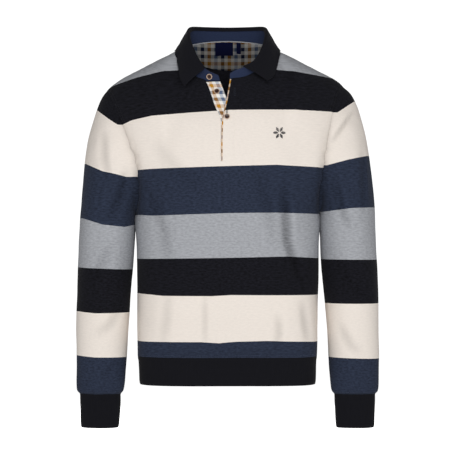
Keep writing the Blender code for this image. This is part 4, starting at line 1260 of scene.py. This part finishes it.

# %% [markdown]
# ## Dressing the pieces
#
# Each piece gets its finish, and the solid that it stands for is hidden. The thread
# stands for no solid. On a seam it takes the tone of the stripe that it crosses, so it
# gets a stripe number too.

# %% Dressing the pieces
FINISH_OF = {
    **dict.fromkeys(RIB_PIECES, rib_knit),
    **dict.fromkeys(CHECK_START, check),
    **dict.fromkeys(BUTTONS, horn),
    "collar_leaf": collar_cloth,
    "collar_stand": stand_cloth,
    "neck_label": tape,
    "size_tab": tape,
}
NAVY_PIECES = ("button_threads", "buttonholes", "chest_motif")
for name, piece in pieces.items():
    piece.data.materials.append(FINISH_OF.get(name, striped_knit))
    piece.name = piece.data.name = f"{name}_turned" if name in BUTTONS else f"{name}_cloth"
    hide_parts(name)
    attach(piece, "root")
for name, piece in sewing.items():
    navy = name in NAVY_PIECES
    piece.data.materials.append(navy_thread if navy else seam_thread)
    if not navy:
        below = f"sleeve_{name.split('_')[-1]}" if name.startswith("cuff") else "front_panel"
        paint_stripes(piece, STRIPES_OF[below])
    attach(piece, "root")
print("dressed:", len(pieces), "pieces, and", len(sewing), "of thread")

# %% [markdown]
# ## The cut of each piece
#
# Before it was sewn each piece was flat. Its width, length and area are those of the
# layer that shows, measured all round where the piece is a tube. A maker cuts more:
# hem band and cuffs are folded double, the collar is two layers, and seams are added.

# %% The flat cut
CUT = {
    # piece: flat width, flat length, flat area, how it is held, what it lies on
    "front_panel": (0.570, 0.650, 0.2850, "hung", ()),
    "back_panel": (0.570, 0.665, 0.3030, "hung", ()),
    "sleeve_right": (0.440, 0.620, 0.1840, "hung", ("front_panel", "back_panel")),
    "sleeve_left": (0.440, 0.620, 0.1840, "hung", ("front_panel", "back_panel")),
    "hem_band": (1.010, 0.058, 0.0580, "stretched", ("front_panel", "back_panel")),
    "cuff_right": (0.204, 0.070, 0.0142, "stretched", ("sleeve_right",)),
    "cuff_left": (0.204, 0.070, 0.0142, "stretched", ("sleeve_left",)),
    "collar_leaf": (0.440, 0.090, 0.0310, "folded", ("collar_stand", "front_panel", "back_panel")),
    "collar_stand": (0.430, 0.036, 0.0145, "folded", ("front_panel", "back_panel")),
    "placket_under": (0.034, 0.168, 0.0055, "laid", ("front_panel",)),
    "placket_top": (0.029, 0.165, 0.0045, "laid", ("placket_facing",)),
    "placket_facing": (0.028, 0.165, 0.0044, "laid", ("placket_under",)),
    "neck_facing": (0.165, 0.072, 0.0092, "laid", ("back_panel",)),
    "neck_label": (0.038, 0.028, 0.00106, "laid", ("neck_facing",)),
    "size_tab": (0.010, 0.024, 0.00024, "laid", ("neck_facing",)),
}
for name, (width, length, area, held, below) in CUT.items():
    shown = sum(face.area for face in pieces[name].data.polygons) / 2
    print(f"{name}: cut {area:.4f}, shown {shown:.4f} square metres")

# %% [markdown]
# ## Floor, light and camera
#
# The floor is a plain pale sheet well below the garment, so that no shadow touches it.
# The light is a large soft one in front and above, and a weaker one behind, over a fill
# from the walls of a white studio, which is brightest at the garment's own level and
# dim overhead. The camera stands level, four metres in front.

# %% The stage
CAMERA_Z = -0.3639
CAMERA_DISTANCE = 4.0
FRAME_WIDTH = 0.93275  # metres across the picture at the garment
FLOOR_Z = -1.10
FLOOR_SIZE = 16
LIGHT_SIZE, LIT_POINT = 2.4, Vector((0, 0, -0.35))
# The room's light by direction, from straight down to straight up.
ROOM_LIGHT = {0.0: 0.36, 0.34: 0.60, 0.50: 0.74, 0.60: 0.48, 0.72: 0.16, 1.0: 0.06}

bpy.ops.mesh.primitive_plane_add(size=FLOOR_SIZE, location=(0, 0, FLOOR_Z))
floor = bpy.context.object
floor.name = "floor"
pale, tree, shader = new_finish("pale_floor", 0.8)
shader.inputs["Base Color"].default_value = linear("F7F7F7")
shader.inputs["Emission Color"].default_value = (1, 1, 1, 1)
shader.inputs["Emission Strength"].default_value = 0.9
floor.data.materials.append(pale)
floor.visible_diffuse = False
floor.visible_glossy = False

world = bpy.data.worlds.new("studio")
bpy.context.scene.world = world
world.use_nodes = True
tree = world.node_tree
fill = tree.nodes["Background"]
fill.inputs["Strength"].default_value = 1.0
direction = add(tree, "TexCoord").outputs["Generated"]
parts = add(tree, "SeparateXYZ", (), {0: direction})
height = add(tree, "Math", {"operation": "MULTIPLY_ADD", 1: 0.5, 2: 0.5}, {0: parts.outputs[2]})
room = add(tree, "ValToRGB", (), {0: height.outputs[0]})
set_ramp(room, [(level, level, level, 1) for level in ROOM_LIGHT.values()], list(ROOM_LIGHT), "EASE")
white = add(tree, "Background", {"Strength": 1.1, "Color": (1, 1, 1, 1)})
seen = add(tree, "LightPath")
both = add(
    tree,
    "MixShader",
    (),
    {0: seen.outputs["Is Camera Ray"], 1: fill.outputs[0], 2: white.outputs[0]},
)
tree.links.new(room.outputs[0], fill.inputs["Color"])
tree.links.new(both.outputs[0], tree.nodes["World Output"].inputs[0])


def softbox(name, place, power):
    """A large square area light aimed at the middle of the garment."""
    bpy.ops.object.light_add(type="AREA", location=place)
    light = bpy.context.object
    light.name = name
    light.data.shape = "SQUARE"
    light.data.size = LIGHT_SIZE
    light.data.energy = power
    light.rotation_euler = (LIT_POINT - Vector(place)).to_track_quat("-Z", "Y").to_euler()
    return light


front = softbox("front_softbox", (0.12, -3.9, 0.35), 94)
softbox("back_softbox", (0, 3.9, 0.35), 45)
# The back neck is in the shade of the collar: only the light of the room reaches it.
shaded_side = bpy.data.collections.new("inside_the_neck")
for name in ("neck_facing", "neck_label", "size_tab"):
    shaded_side.objects.link(pieces[name])
front.light_linking.receiver_collection = shaded_side
for member in shaded_side.collection_objects:
    member.light_linking.link_state = "EXCLUDE"

bpy.ops.object.camera_add(location=(0, -CAMERA_DISTANCE, CAMERA_Z), rotation=(math.pi / 2, 0, 0))
camera = bpy.context.object
camera.data.lens = camera.data.sensor_width * CAMERA_DISTANCE / FRAME_WIDTH
bpy.context.scene.camera = camera
bpy.context.scene.view_settings.view_transform = "Standard"
print("lens:", round(camera.data.lens, 1), "mm")
